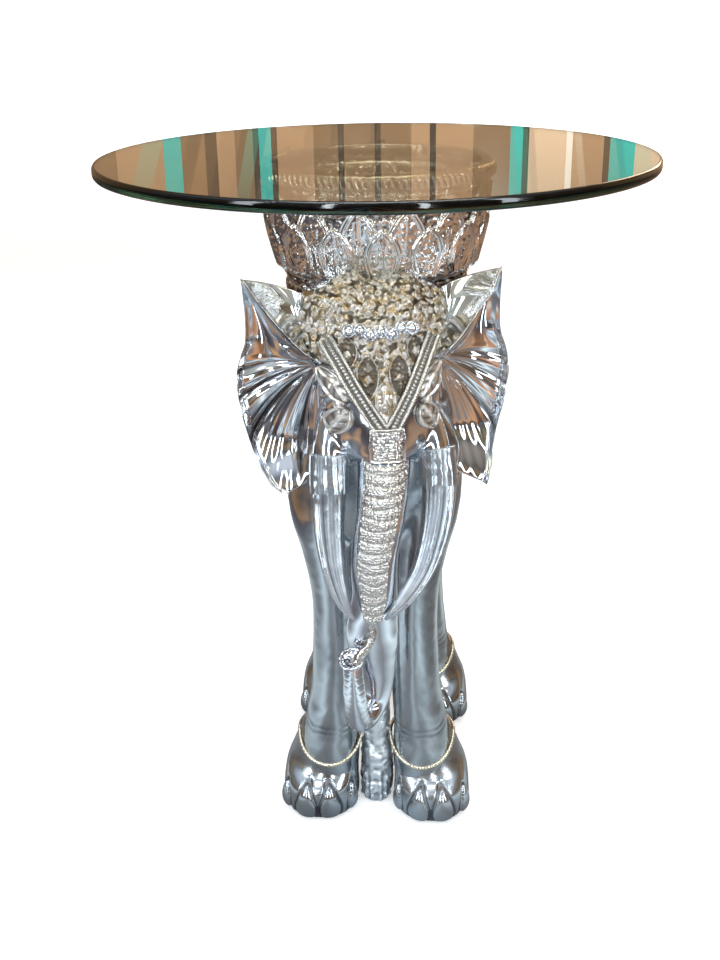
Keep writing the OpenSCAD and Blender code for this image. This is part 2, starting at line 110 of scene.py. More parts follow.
def finish_mesh(name, verts, faces, relief=None):
    """A smooth-shaded object from points in millimetres, with its relief height kept for the material."""
    mesh = bpy.data.meshes.new(name)
    mesh.from_pydata((verts * MM).tolist(), [], faces)
    mesh.update()
    bm = bmesh.new()
    bm.from_mesh(mesh)
    bmesh.ops.recalc_face_normals(bm, faces=bm.faces)
    bm.to_mesh(mesh)
    bm.free()
    mesh.polygons.foreach_set("use_smooth", [True] * len(mesh.polygons))
    layer = mesh.attributes.new("relief", "FLOAT", "POINT")
    layer.data.foreach_set("value", np.zeros(len(verts)) if relief is None else relief.astype(float))
    obj = bpy.data.objects.new(name, mesh)
    bpy.context.scene.collection.objects.link(obj)
    return obj


def ring_quads(idx):
    """Faces between the rows of a grid of point numbers, each row closed into a ring."""
    nxt = np.roll(idx, -1, 1)
    return np.stack([idx[:-1], nxt[:-1], nxt[1:], idx[1:]], -1).reshape(-1, 4).tolist()


def shell(name, grid, relief=None):
    """A closed skin over a grid of points, its two ends closed by fans."""
    rows, cols = grid.shape[:2]
    first, last = rows * cols, rows * cols + 1
    idx = np.arange(first).reshape(rows, cols)
    verts = np.vstack([grid.reshape(-1, 3), grid[0].mean(axis=0), grid[-1].mean(axis=0)])
    heights = np.zeros(first) if relief is None else relief.reshape(-1)
    heights = np.append(heights, [heights[0], heights[-1]])
    faces = ring_quads(idx)
    faces += [[first, b, a] for a, b in zip(idx[0], np.roll(idx[0], -1))]
    faces += [[last, a, b] for a, b in zip(idx[-1], np.roll(idx[-1], -1))]
    return finish_mesh(name, verts, faces, heights)


def feed(tree, made, inputs):
    """Links each named input of a node, or sets it where a plain value is given."""
    for label, value in inputs.items():
        if isinstance(value, bpy.types.NodeSocket):
            tree.links.new(value, made.inputs[label])
        else:
            made.inputs[label].default_value = value


def node(tree, kind, inputs=None, **settings):
    made = tree.nodes.new(kind)
    for key, value in settings.items():
        setattr(made, key, value)
    feed(tree, made, inputs or {})
    return made


def noise(tree, scale, detail=2.0, roughness=0.5, distortion=0.0):
    """Soft noise laid over a piece by its own coordinates."""
    place = node(tree, "ShaderNodeTexCoord").outputs["Object"]
    made = node(tree, "ShaderNodeTexNoise", {
        "Vector": place, "Scale": scale, "Detail": detail, "Roughness": roughness, "Distortion": distortion})
    return made.outputs["Fac"]


def ramp(tree, source, stops):
    made = node(tree, "ShaderNodeValToRGB", {"Fac": source})
    points = made.color_ramp.elements
    while len(points) < len(stops):
        points.new(0.5)
    for point, (place, tone) in zip(points, stops):
        point.position = place
        point.color = (*tone, 1)
    return made.outputs["Color"]


def blend(tree, first, second, share=1.0, **settings):
    made = node(tree, "ShaderNodeMix", {"Factor": share, "A": first, "B": second}, data_type="RGBA", **settings)
    return made.outputs["Result"]


def new_material(name):
    mat = bpy.data.materials.new(name)
    mat.use_nodes = True
    return mat, mat.node_tree, mat.node_tree.nodes["Principled BSDF"]


def build_plating_group():
    """Plating over cast resin: faint orange peel, polish haze, and a darker film where polishing can't reach."""
    g = bpy.data.node_groups.new("plating_finish", "ShaderNodeTree")
    for label, value in (("Peel Scale", 90.0), ("Haze Scale", 14.0)):
        g.interface.new_socket(label, in_out="INPUT", socket_type="NodeSocketFloat").default_value = value
    for label in ("Hollow", "Haze", "Peel"):
        g.interface.new_socket(label, in_out="OUTPUT", socket_type="NodeSocketFloat")
    inside = node(g, "NodeGroupInput")
    height = node(g, "ShaderNodeAttribute", attribute_name="relief").outputs["Fac"]
    hollow = node(g, "ShaderNodeMapRange", {
        "Value": height, "From Min": 0.15, "From Max": -0.9, "To Min": 0.0, "To Max": 1.0},
        interpolation_type="SMOOTHSTEP")
    node(g, "NodeGroupOutput", {
        "Hollow": hollow.outputs["Result"],
        "Haze": noise(g, inside.outputs["Haze Scale"], 5.0, 0.6),
        "Peel": noise(g, inside.outputs["Peel Scale"], 3.0)})
    return g


plating_group = build_plating_group()


def plated(name, bright, film, rough, peel_scale=90.0, peel_depth=0.00012, haze_scale=14.0, metal=1.0, speckle=()):
    """Silver plating: mirror-bright where it is rubbed, filmed over in the hollows."""
    mat, tree, shader = new_material(name)
    finish = node(tree, "ShaderNodeGroup", node_tree=plating_group)
    feed(tree, finish, {"Peel Scale": peel_scale, "Haze Scale": haze_scale})
    hollow, haze, peel = (finish.outputs[label] for label in ("Hollow", "Haze", "Peel"))
    halfway = [(a + b) / 2 for a, b in zip(bright, film)]
    tone = ramp(tree, hollow, [(0.0, bright), (0.55, halfway), (1.0, film)])
    cloud = ramp(tree, haze, [(0.3, (0.9, 0.9, 0.9)), (0.7, (1.0, 1.0, 1.0))])
    colour = blend(tree, tone, cloud, blend_type="MULTIPLY")
    if speckle:
        place = node(tree, "ShaderNodeTexCoord").outputs["Object"]
        grains = node(tree, "ShaderNodeTexVoronoi", {"Vector": place, "Scale": 260.0}).outputs["Color"]
        each = node(tree, "ShaderNodeSeparateColor", {"Color": grains}).outputs["Red"]
        colour = blend(tree, colour, ramp(tree, each, speckle), blend_type="MULTIPLY")
    dull = node(tree, "ShaderNodeMapRange", {
        "Value": haze, "From Min": 0.3, "From Max": 0.75, "To Min": rough * 0.6, "To Max": rough * 1.6})
    duller = node(tree, "ShaderNodeMath", {0: hollow, 1: 0.16, 2: dull.outputs["Result"]}, operation="MULTIPLY_ADD")
    bump = node(tree, "ShaderNodeBump", {"Strength": 0.35, "Distance": peel_depth, "Height": peel})
    feed(tree, shader, {"Base Color": colour, "Metallic": metal, "Roughness": duller.outputs["Value"],
                        "Normal": bump.outputs["Normal"]})
    return mat


satin_silver = plated("satin_silver_plate", (0.50, 0.54, 0.575), (0.18, 0.185, 0.20), 0.19, peel_scale=30.0,
                      peel_depth=0.0005, haze_scale=9.0)


def dress(obj, material, *nodes, slot="silver_plate", body="elephant"):
    """Gives a piece its material and body, and hides the nodes it stands in for. The slot is not used."""
    obj.data.materials.clear()
    obj.data.materials.append(material)
    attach(obj, body)
    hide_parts(*nodes)
    return obj


foot_rows, foot_cols = 200, 300
foot_bottom = 2.0
# height, sideways centre, front-to-back centre, half width, half length, squareness
foot_form = [
    (2, 55, -2, 33, 41, 2.3), (4, 55.5, -3, 36, 43.5, 2.3), (12, 56, -4, 38, 45, 2.3), (24, 56, -4, 37.5, 44.5, 2.3),
    (36, 55.5, -3, 37, 43, 2.2), (48, 54.5, -2, 35.5, 39.5, 2.1), (60, 52, 0, 33, 35.5, 2.0),
    (76, 48, 0, 30.5, 32, 2.0), (88, 46, 0, 27.5, 29.5, 2.0), (92, 46, 0, 25, 27, 2.0),
]
# direction round the foot, height, half width and half height of each nail
nails = [(-106, 20, 12.5, 17.5), (-74, 20, 12.5, 17.5), (-143, 19, 9.5, 14), (-37, 19, 9.5, 14)]


def instep(ahead, level):
    """How far the top of the paw dips over the toes and rises behind the ankle."""
    return step(26, 84, level) * np.where(ahead < 0, 0.75, 0.15) * ahead


def build_foot(end, side):
    axis_y = LEG_AXIS[end]
    grid = np.stack([hoop((x, axis_y + y, z), X_AXIS, Y_AXIS, a, b, p, foot_cols)
                     for z, x, y, a, b, p in curve(foot_form, foot_rows)])
    grid[..., 2] += instep(grid[..., 1] - axis_y, grid[..., 2])
    ahead, across = grid[..., 1] - axis_y + 4, grid[..., 0] - 56
    around, reach = np.degrees(np.arctan2(ahead, across)), np.hypot(ahead, across)
    height = np.zeros(grid.shape[:2])
    for turn, level, wide, tall in nails:
        s = np.radians((around - turn + 180) % 360 - 180) * reach
        drop = grid[..., 2] - level
        narrow = wide * (1 - 0.5 * step(-tall, tall, drop))
        e = np.sqrt((s / narrow) ** 2 + (drop / tall) ** 2)
        height += 3.6 * dome(e**2) + 0.7 * bell(e, 0.98, 0.07)
        height -= 1.7 * bell(e, 1.16, 0.14)
        height += 1.0 * bell(s, 0, wide * 1.3) * bell(drop, 4, 24)
    height *= step(foot_bottom, 7.0, grid[..., 2])
    grid = raised(grid, height)
    grid[..., 2] = np.maximum(grid[..., 2], foot_bottom)
    grid[..., 0] *= side
    corner = f"{end}_foot_{HANDS[side]}"
    return dress(shell(corner + "_paw", grid, height - 0.4), satin_silver, corner)


for end in LEG_AXIS:
    for side in HANDS:
        build_foot(end, side)


def build_felt():
    mat, tree, shader = new_material("pressed_felt")
    fuzz = noise(tree, 900.0, 4.0)
    bump = node(tree, "ShaderNodeBump", {"Distance": 0.0004, "Height": fuzz})
    feed(tree, shader, {
        "Base Color": ramp(tree, fuzz, [(0.3, (0.03, 0.03, 0.032)), (0.7, (0.085, 0.085, 0.09))]),
        "Roughness": 0.95, "Normal": bump.outputs["Normal"]})
    return mat


def recoat(node_name, material):
    """Gives a plain node of the frame its real material."""
    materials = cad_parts[node_name].data.materials
    materials.clear()
    materials.append(material)


recoat("felt_pads", build_felt())

# ---------------------------------------------------------------------------
# Legs, barrel and chest
# The standing figure is cast in sections that are bonded and rubbed down before plating,
# so the legs run into the barrel with no edge. Fine grooves ring each leg over the foot.


def unit(v):
    return v / np.linalg.norm(v, axis=-1, keepdims=True)


def lattice(points, seed):
    """A repeatable random number from 0 to 1 for each whole-number point."""
    k = points @ np.array([127.1, 311.7, 74.7]) + seed * 19.19
    n = np.sin(k) * 43758.5453
    return n - np.floor(n)


def grain(points, size, seed=1):
    """Soft value noise from -1 to 1 over points in millimetres."""
    p = points / size
    base = np.floor(p)
    f = p - base
    f = f * f * (3 - 2 * f)
    total = np.zeros(p.shape[:-1])
    for corner in np.ndindex(2, 2, 2):
        c = np.array(corner)
        weight = np.prod(np.where(c == 1, f, 1 - f), axis=-1)
        total += weight * lattice(base + c, seed)
    return total * 2 - 1


def tube(path, square=2.0, cols=96, rows=120):
    """A skin swept along given rows of x, y, z, half width and half depth."""
    q = curve(path, rows)
    centre = q[:, :3]
    t = unit(np.gradient(centre, axis=0))
    u = unit(np.cross(np.cross(t, X_AXIS), t))
    v = np.cross(t, u)
    return np.stack([hoop(centre[i], u[i], v[i], q[i, 3], q[i, 4], square, cols) for i in range(rows)])


def settled(obj):
    """The object's mesh with its modifiers applied."""
    dg = bpy.context.evaluated_depsgraph_get()
    done = bpy.data.meshes.new_from_object(obj.evaluated_get(dg))
    old = obj.data
    obj.modifiers.clear()
    obj.data = done
    bpy.data.meshes.remove(old)
    return obj


def read_values(items, key, width=3):
    values = np.empty(len(items) * width)
    items.foreach_get(key, values)
    return values.reshape(-1, width)


def joined(parts):
    """The points, faces and relief heights of several objects together; the objects are removed."""
    verts, faces, heights, start = [], [], [], 0
    for part in parts:
        mesh = part.data
        verts.append(read_values(mesh.vertices, "co") / MM)
        heights.append(read_values(mesh.attributes["relief"].data, "value", 1).ravel())
        faces += [[v + start for v in p.vertices] for p in mesh.polygons]
        start += len(mesh.vertices)
        bpy.data.objects.remove(part)
        bpy.data.meshes.remove(mesh)
    return np.vstack(verts), faces, np.concatenate(heights)


def melted(name, grids, voxel, rounds):
    """One smooth skin over several overlapping forms, as a sculptor blends clay."""
    obj = finish_mesh(name, *joined([shell("form", grid) for grid in grids]))
    obj.modifiers.new("blend", "REMESH").voxel_size = voxel * MM
    relax = obj.modifiers.new("relax", "SMOOTH")
    relax.factor = 0.5
    relax.iterations = rounds
    fine = obj.modifiers.new("fine", "SUBSURF")
    fine.levels = fine.render_levels = 1
    settled(obj)
    obj.data.polygons.foreach_set("use_smooth", [True] * len(obj.data.polygons))
    return obj


def read_points(obj):
    return read_values(obj.data.vertices, "co") / MM, read_values(obj.data.vertices, "normal")


def carve(obj, height):
    """Moves every point along its normal and keeps the height for the material."""
    co, no = read_points(obj)
    co = co + no * height[:, None]
    obj.data.vertices.foreach_set("co", (co * MM).ravel())
    layer = obj.data.attributes.get("relief") or obj.data.attributes.new("relief", "FLOAT", "POINT")
    layer.data.foreach_set("value", height)
    obj.data.update()


# height, sideways centre, front-to-back centre, half width, half depth
front_leg_form = [
    (24, 47, -88, 26, 28), (44, 47, -87, 29.5, 31.5), (66, 46, -86, 29.5, 31.5), (84, 45, -85, 27.5, 29.5),
    (104, 43, -85, 26, 28.5), (130, 40, -84, 24, 28), (185, 38, -84, 22.5, 28.5), (240, 38, -84, 23, 31),
    (285, 42, -83, 27, 35), (322, 46.5, -81, 32, 39), (360, 47, -76, 34, 40), (400, 42, -66, 33, 40),
]
rear_leg_form = [
    (24, 47, 79, 26, 28), (44, 47, 79, 29.5, 31.5), (66, 46, 80, 29.5, 31.5), (84, 45, 81, 27.5, 29.5),
    (104, 43.5, 83, 26.5, 29), (140, 41, 84, 25, 29), (190, 40, 84, 25, 32), (240, 41, 83, 27, 37),
    (290, 44, 81, 31, 43), (330, 45, 78, 34, 48), (380, 43, 72, 34, 50), (430, 38, 66, 32, 48),
]


def leg_grid(form, side):
    path = [(side * x, y, z, a, b) for z, x, y, a, b in form]
    return tube(path[::-1], 2.1, 72, 90)


# place along the body, middle height, half height, half width
barrel_form = [
    (-104, 432, 50, 44), (-98, 432, 78, 62), (-84, 428, 92, 72), (-60, 422, 98, 79), (-30, 416, 101, 82),
    (10, 413, 102, 83), (50, 413, 101, 83), (84, 412, 97, 80), (108, 408, 88, 72), (124, 404, 74, 58),
    (133, 402, 54, 42), (136, 401, 30, 24),
]
barrel_grid = np.stack([hoop((0, y, z), Z_AXIS, X_AXIS, h, w, 2.25, 110) for y, z, h, w in curve(barrel_form, 110)])
chest_grid = tube([(0, -98, 452, 40, 22), (0, -98, 430, 62, 28), (0, -96, 395, 78, 30), (0, -94, 355, 78, 29),
                   (0, -90, 322, 69, 27), (0, -86, 300, 50, 22)], 2.3, 90, 80)
leg_grids = [leg_grid(form, side) for form in (front_leg_form, rear_leg_form) for side in HANDS]
figure = melted("figure", [barrel_grid, chest_grid] + leg_grids, 3.2, 14)


def figure_relief(p):
    x, y, z = np.abs(p[:, 0]), p[:, 1], p[:, 2]
    h = 0.55 * grain(p, np.array([16.0, 16.0, 44.0]), 15) + 0.12 * grain(p, 7.0, 16)
    for axis_y in LEG_AXIS.values():
        near = 1 - step(52, 62, np.hypot(x - 43, y - axis_y))
        for level, lean in ((97, 0.22), (104, 0.27)):
            h -= 0.3 * near * bell(z - level, lean * (y - axis_y), 1.5)
    return h


carve(figure, figure_relief(read_points(figure)[0]))


def cut_part(source, name, low=None, high=None, side=0):
    """The part of a skin between two heights and on one side, with its cut faces closed."""
    obj = source.copy()
    obj.data = source.data.copy()
    obj.name = obj.data.name = name
    bpy.context.scene.collection.objects.link(obj)
    bm = bmesh.new()
    bm.from_mesh(obj.data)
    cuts = []
    if low is not None:
        cuts.append(((0, 0, low * MM), (0, 0, -1)))
    if high is not None:
        cuts.append(((0, 0, high * MM), (0, 0, 1)))
    if side:
        cuts.append(((0, 0, 0), (-side, 0, 0)))
    for co, no in cuts:
        bmesh.ops.bisect_plane(bm, geom=bm.verts[:] + bm.edges[:] + bm.faces[:], dist=1e-6, plane_co=co, plane_no=no,
                               clear_outer=True)
        rim = [e for e in bm.edges if e.is_boundary]
        caps = bmesh.ops.holes_fill(bm, edges=rim, sides=0)["faces"]
        for f in caps:
            f.smooth = False
            for e in f.edges:
                e.smooth = False
    bm.to_mesh(obj.data)
    bm.free()
    return obj


def keep_end(obj, end):
    """Keeps only the front or the rear pair of what was cut."""
    bm = bmesh.new()
    bm.from_mesh(obj.data)
    away = [v for v in bm.verts if (v.co.y > 0) != (end == "rear")]
    bmesh.ops.delete(bm, geom=away, context="VERTS")
    bm.to_mesh(obj.data)
    bm.free()
    return obj


leg_joint = 296
for end in LEG_AXIS:
    for side in HANDS:
        corner = f"{end}_leg_{HANDS[side]}"
        leg = cut_part(figure, corner + "_cast", high=leg_joint, side=side)
        dress(keep_end(leg, end), satin_silver, corner)
torso = cut_part(figure, "barrel_cast", low=leg_joint)
dress(torso, satin_silver, "body_shell", "chest_shell")
bpy.data.objects.remove(figure)

# ---------------------------------------------------------------------------
# Anklets
# A thin cast bangle is pressed round each leg where it drops into the paw.
# It dips over the instep, and its rim is rubbed to a warm shine.

warm_silver = plated("rubbed_warm_silver", (0.80, 0.74, 0.60), (0.30, 0.25, 0.18), 0.11, peel_scale=120.0)
bangle_turns, bangle_section = 180, 16


def loop_skin(name, grid, relief):
    """A closed ring, the last row of its grid joined to the first."""
    idx = np.arange(grid.shape[0] * grid.shape[1]).reshape(grid.shape[:2])
    return finish_mesh(name, grid.reshape(-1, 3), ring_quads(np.vstack([idx, idx[:1]])), relief.ravel())


def build_bangle(end, side):
    axis_y = LEG_AXIS[end] - 1
    t = full_turn(bangle_turns)
    base = np.stack([46 + 31.5 * np.cos(t), axis_y + 33 * np.sin(t), np.full(bangle_turns, 80.0)], -1)
    base[:, 2] += np.where(base[:, 1] < axis_y, 0.7, 0.15) * (base[:, 1] - axis_y)
    base[:, 2] = np.convolve(np.tile(base[:, 2], 3), np.ones(9) / 9, "same")[bangle_turns:2 * bangle_turns]
    out = np.stack([np.cos(t), np.sin(t), 0 * t], -1)
    s = full_turn(bangle_section)
    rope = 0.22 * np.cos(60 * t)[:, None, None]
    wide, tall = (1.7 + rope) * np.cos(s)[None, :, None], (2.3 + rope) * np.sin(s)[None, :, None]
    loop = base[:, None] + out[:, None] * wide + Z_AXIS * tall
    loop[..., 0] *= side
    corner = f"{end}_anklet_{HANDS[side]}"
    ring = loop_skin(corner + "_bangle", loop, np.tile(-0.25 + 0.4 * np.cos(s), bangle_turns))
    return dress(ring, warm_silver, corner)


for end in LEG_AXIS:
    for side in HANDS:
        build_bangle(end, side)

# ---------------------------------------------------------------------------
# Carved post
# A resin post between the front legs steadies the figure. It is carved as rockwork with
# foliage in two tiers, and stands just clear of the floor.


def pebbles(points, size, seed=1):
    """Distance to the nearest bead centre, in bead sizes, and that bead's own random number."""
    p = points / size
    base = np.floor(p)
    nearest = np.full(p.shape[:-1], 9.0)
    mark = np.zeros(p.shape[:-1])
    for corner in np.ndindex(3, 3, 3):
        cell = base + np.array(corner) - 1
        jitter = np.stack([lattice(cell, seed + k) for k in (0, 5, 11)], -1)
        d = np.linalg.norm(cell + 0.2 + 0.6 * jitter - p, axis=-1)
        closer = d < nearest
        nearest = np.where(closer, d, nearest)
        mark = np.where(closer, lattice(cell, seed + 3), mark)
    return nearest, mark


def rosettes(points, size, seed):
    """Little flowers, each a bead with petals about it, packed close like the work on the harness."""
    d, mark = pebbles(points, size, seed)
    swirl = np.cos(5 * np.arctan2(points[..., 2] / size + 3 * mark, points[..., 0] / size + 7 * mark) + 6 * d)
    bead = dome((d / 0.26) ** 2)
    petals = (1 - step(0.42, 0.62, d)) * (0.55 + 0.25 * swirl)
    return np.maximum(bead, petals) - 0.5


# height, front-to-back centre, half width, half depth
post_form = [
    (1, -74, 13.5, 24), (8, -74, 14.5, 26), (30, -74, 14, 25.5), (56, -74, 14.5, 25), (62, -74, 13.5, 22),
    (68, -74, 12, 20), (90, -74, 13, 21), (112, -74, 12, 20), (160, -74, 11, 18), (230, -73, 11, 18),
    (316, -72, 12, 19),
]
post_rows, post_cols = 420, 150
post_grid = np.stack([hoop((0, y, z), X_AXIS, Y_AXIS, a, b, 2.6, post_cols)
                      for z, y, a, b in curve(post_form, post_rows)])
# The 0.9 added to the relief height raises the carving and also keeps most of it clear of the dark hollow film. That is
# painted light for a post that stands in the shade between the front legs.
post_height = 2.0 * rosettes(post_grid, 12.0, 4) + 1.0 * grain(post_grid, 4.5, 6) + 0.9
post_height += 1.1 * np.cos(full_turn(post_cols) * 14)[None] * (1 - step(26, 44, post_grid[..., 2]))
post_height *= step(1, 4, post_grid[..., 2])
post = shell("post_rockwork", raised(post_grid, post_height), post_height)
# The post's plating is paler, bluer and less metallic than the other plating, with a lighter film. That is painted
# light making up for the shade between the front legs.
post_painted_light_plate = plated("carved_post_painted_light_plate", (0.80, 0.86, 0.91), (0.38, 0.41, 0.44), 0.3, peel_scale=120.0, metal=0.7)
dress(post, post_painted_light_plate, "carved_post", slot="silver_relief")

# ---------------------------------------------------------------------------
# Tail
# The tail is cast solid, bonded into the rump, and hangs close to it with a combed tuft.

smooth_silver = plated("smooth_silver_plate", (0.74, 0.77, 0.82), (0.30, 0.31, 0.34), 0.08, peel_scale=45.0,
                       peel_depth=0.0003)
tail_path = [
    (0, 128, 446, 9, 8), (0, 139, 442, 6.5, 6.5), (0, 147, 425, 5.8, 5.8), (0, 150, 398, 5, 5), (0, 149, 368, 4.2, 4.2),
    (0, 147, 342, 3.8, 3.8),
]
tail_grid = tube(tail_path, 2.0, 40, 160)
tail_ripple = 0.35 * np.sin(np.linspace(0, 90, 160))[:, None] * np.ones(40)
tail = shell("tail_cast", raised(tail_grid, tail_ripple), tail_ripple)
dress(tail, smooth_silver, "tail")
tuft_path = [(0, 147, 343, 4, 4), (0, 147.5, 332, 8.5, 6.5), (0, 148.5, 318, 10, 7.5), (0, 149, 304, 7, 5.5),
             (0, 149.5, 294, 1.5, 1.5)]
tuft_grid = tube(tuft_path, 2.0, 120, 120)
tuft_locks = np.abs(np.sin(6 * full_turn(120)[None] + np.linspace(0, 3, 120)[:, None])) ** 0.6 * 1.6 - 0.8
tuft = shell("tail_tuft_locks", raised(tuft_grid, tuft_locks), tuft_locks)
dress(tuft, smooth_silver, "tail_tuft")

# ---------------------------------------------------------------------------
# Saddle cloth
# Each side of the cloth is a thin casting laid on the barrel under the seat. It has a rope
# border, a lattice of flowers and a row of pointed drops along its lower edge.


def surface_of(obj):
    bm = bmesh.new()
    bm.from_mesh(obj.data)
    tree = BVHTree.FromBMesh(bm)
    bm.free()
    return tree


def cast_onto(tree, starts, ways):
    """Where each ray meets a surface, and the surface's normal there, in millimetres."""
    shape = starts.shape
    spots, normals = [], []
    for start, way in zip(starts.reshape(-1, 3) * MM, ways.reshape(-1, 3)):
        hit, normal = tree.ray_cast(Vector(start), Vector(way))[:2]
        if hit is None:
            hit, normal = tree.find_nearest(Vector(start))[:2]
        spots.append(hit)
        normals.append(normal)
    spots = np.array(spots).reshape(shape) / MM
    normals = np.array(normals).reshape(shape)
    for _ in range(2):
        normals[1:-1] = (normals[:-2] + 2 * normals[1:-1] + normals[2:]) / 4
        normals[:, 1:-1] = (normals[:, :-2] + 2 * normals[:, 1:-1] + normals[:, 2:]) / 4
    return spots, unit(normals)


def sheet_solid(name, top, under, height):
    """A closed thin solid between two matching grids."""
    rows, cols = top.shape[:2]
    n = rows * cols
    a = np.arange(n).reshape(rows, cols)
    b = a + n
    faces = np.stack([a[:-1, :-1], a[:-1, 1:], a[1:, 1:], a[1:, :-1]], -1).reshape(-1, 4).tolist()
    faces += np.stack([b[:-1, :-1], b[1:, :-1], b[1:, 1:], b[:-1, 1:]], -1).reshape(-1, 4).tolist()
    edge = np.concatenate([a[0, :-1], a[:-1, -1], a[-1, :0:-1], a[:0:-1, 0]])
    nxt = np.roll(edge, -1)
    faces += np.stack([edge, edge + n, nxt + n, nxt], -1).tolist()
    verts = np.concatenate([top.reshape(-1, 3), under.reshape(-1, 3)])
    return finish_mesh(name, verts, faces, np.append(height.ravel(), np.full(n, -1.0)))


def laid_on(name, spots, normals, lift, sunk, film):
    """A thin casting that stands up from a surface and is let into it a little."""
    return sheet_solid(name, spots + normals * lift[..., None], spots - normals * sunk, film)


relief_silver = plated("relief_silver_plate", (0.78, 0.78, 0.77), (0.13, 0.12, 0.11), 0.13, peel_scale=200.0)
torso_tree = surface_of(torso)
cloth_rows, cloth_cols = 210, 220
cloth_start, cloth_long, cloth_top, cloth_fall, cloth_deep = -47, 113, 508, 104, 112


def build_cloth(side):
    along = np.linspace(cloth_start, cloth_start + cloth_long, cloth_cols)
    fall = np.linspace(0, 1, cloth_rows)
    drops = 1 - np.abs(((along - cloth_start) / cloth_long * 7) % 1 * 2 - 1)
    level = cloth_top - fall[:, None] * (cloth_fall + (6 + 9 * drops**0.7)[None])
    turn = np.radians(np.interp(level, [380, 440, cloth_top], [-18, 12, 70]))
    starts = np.stack([np.zeros_like(turn), np.broadcast_to(along, turn.shape), np.full_like(turn, 414.0)], -1)
    ways = np.stack([side * np.cos(turn), np.zeros_like(turn), np.sin(turn)], -1)
    spots, normals = cast_onto(torso_tree, starts, ways)
    u = np.broadcast_to((along - cloth_start) / cloth_long, turn.shape)
    v = np.broadcast_to(fall[:, None], turn.shape)
    x, z = u * cloth_long, v * cloth_deep
    edge = np.minimum(np.minimum(u, 1 - u) * cloth_long, (1 - v) * cloth_deep)
    border = bell(edge, 3, 1.6) + 0.8 * bell(edge, 9, 1.0)
    rope = 0.3 * np.sin((u + v) * 330) * bell(edge, 3, 2.0)
    net = (np.abs(np.sin((x + z) * np.pi / 19)) < 0.12) | (np.abs(np.sin((x - z) * np.pi / 19)) < 0.12)
    field = np.where(net, 0.9, rosettes(np.stack([x, 0 * u, z], -1), 9.5, 21))
    height = 1.1 * border + rope + step(10, 13, edge) * 1.2 * field
    name = "saddle_cloth_" + HANDS[side]
    cloth = laid_on(name + "_panel", spots, normals, 2.2 + height, 1.0, height - 0.6)
    return dress(cloth, relief_silver, name, slot="silver_relief")


for side in HANDS:
    build_cloth(side)

# ---------------------------------------------------------------------------
# Head
# The head is one casting with a domed forehead, full cheeks and the root of the trunk.
# It is turned a little to the elephant's left and bonded to the neck.

neck_y, head_turn = -88, math.radians(12)


def turned(points, share=1.0):
    """Turns points about the middle of the neck joint, wholly or in part."""
    a = head_turn * np.asarray(share)
    x, y = points[..., 0], points[..., 1] - neck_y
    return np.stack([x * np.cos(a) - y * np.sin(a), x * np.sin(a) + y * np.cos(a) + neck_y, points[..., 2]], -1)


def turn_object(obj):
    co, _ = read_points(obj)
    obj.data.vertices.foreach_set("co", (turned(co) * MM).ravel())
    obj.data.update()
    return obj


# height, front-to-back centre, half width, half depth
skull_form = [
    (388, -126, 26, 22), (396, -125, 38, 34), (412, -122, 45, 42), (436, -117, 49, 46), (460, -111, 52, 46),
    (484, -104, 57, 44), (506, -97, 64, 40), (523, -92, 65, 33), (534, -89, 55, 25), (540, -88, 38, 15),
]
skull_rows = curve(skull_form, 110)
skull = np.stack([hoop((0, y, z), X_AXIS, Y_AXIS, a, b, 2.15, 130) for z, y, a, b in skull_rows])
snout = [(0, -112, 470, 24, 20), (0, -132, 446, 29, 25), (0, -144, 420, 27, 24), (0, -148, 396, 23, 22)]
head_grids = [skull, tube(snout, 2.1, 80, 60)]
for side in HANDS:
    head_grids.append(tube([(side * 32, -108, 448, 13, 13), (side * 38, -122, 425, 17, 17),
                            (side * 43, -134, 402, 17.5, 17.5),
                            (side * 44, -140, 388, 16, 16)], 2.0, 60, 50))
    head_grids.append(tube([(side * 22, -80, 512, 20, 22), (side * 23, -92, 520, 25, 26),
                            (side * 22, -112, 508, 24, 22),
                            (side * 22, -124, 488, 14, 14)], 2.0, 60, 50))
    head_grids.append(tube([(side * 28, -134, 462, 8, 7), (side * 38, -136, 458, 11, 9), (side * 47, -126, 448, 8, 8)],
                           2.0, 50, 40))
head = melted("head_cast", head_grids, 2.6, 10)
carve(head, 0.25 * grain(read_points(head)[0], 9.0, 31) - 0.1)
face_tree = surface_of(head)
dress(head, smooth_silver, "head_shell")
turn_object(head)

# ---------------------------------------------------------------------------
# Beaded forehead cap
# A separate thin casting lies over the crown: close-set beads above, then pointed drops
# that hang between the straps. It is bonded on before plating.

cap_centre = np.array([0.0, -98.0, 455.0])
cap_rows, cap_cols = 330, 330
# sideways place, top, half width and length of each pointed drop
cap_drops = [(-13, 488, 9.5, 36), (13, 488, 9.5, 36), (0, 468, 9.0, 40), (-28, 502, 8.5, 26), (28, 502, 8.5, 26)]


def drop_shape(x, z, x0, top, wide, long):
    """Distance inside the outline of a pointed drop, and less than 0 outside it."""
    t = np.clip((top - z) / long, 0, 1)
    half = wide * np.sin(np.pi * np.clip(t, 0.001, 0.999) ** 0.8) ** 0.75
    return np.where((top - z > 0) & (top - z < long), half - np.abs(x - x0), -9)


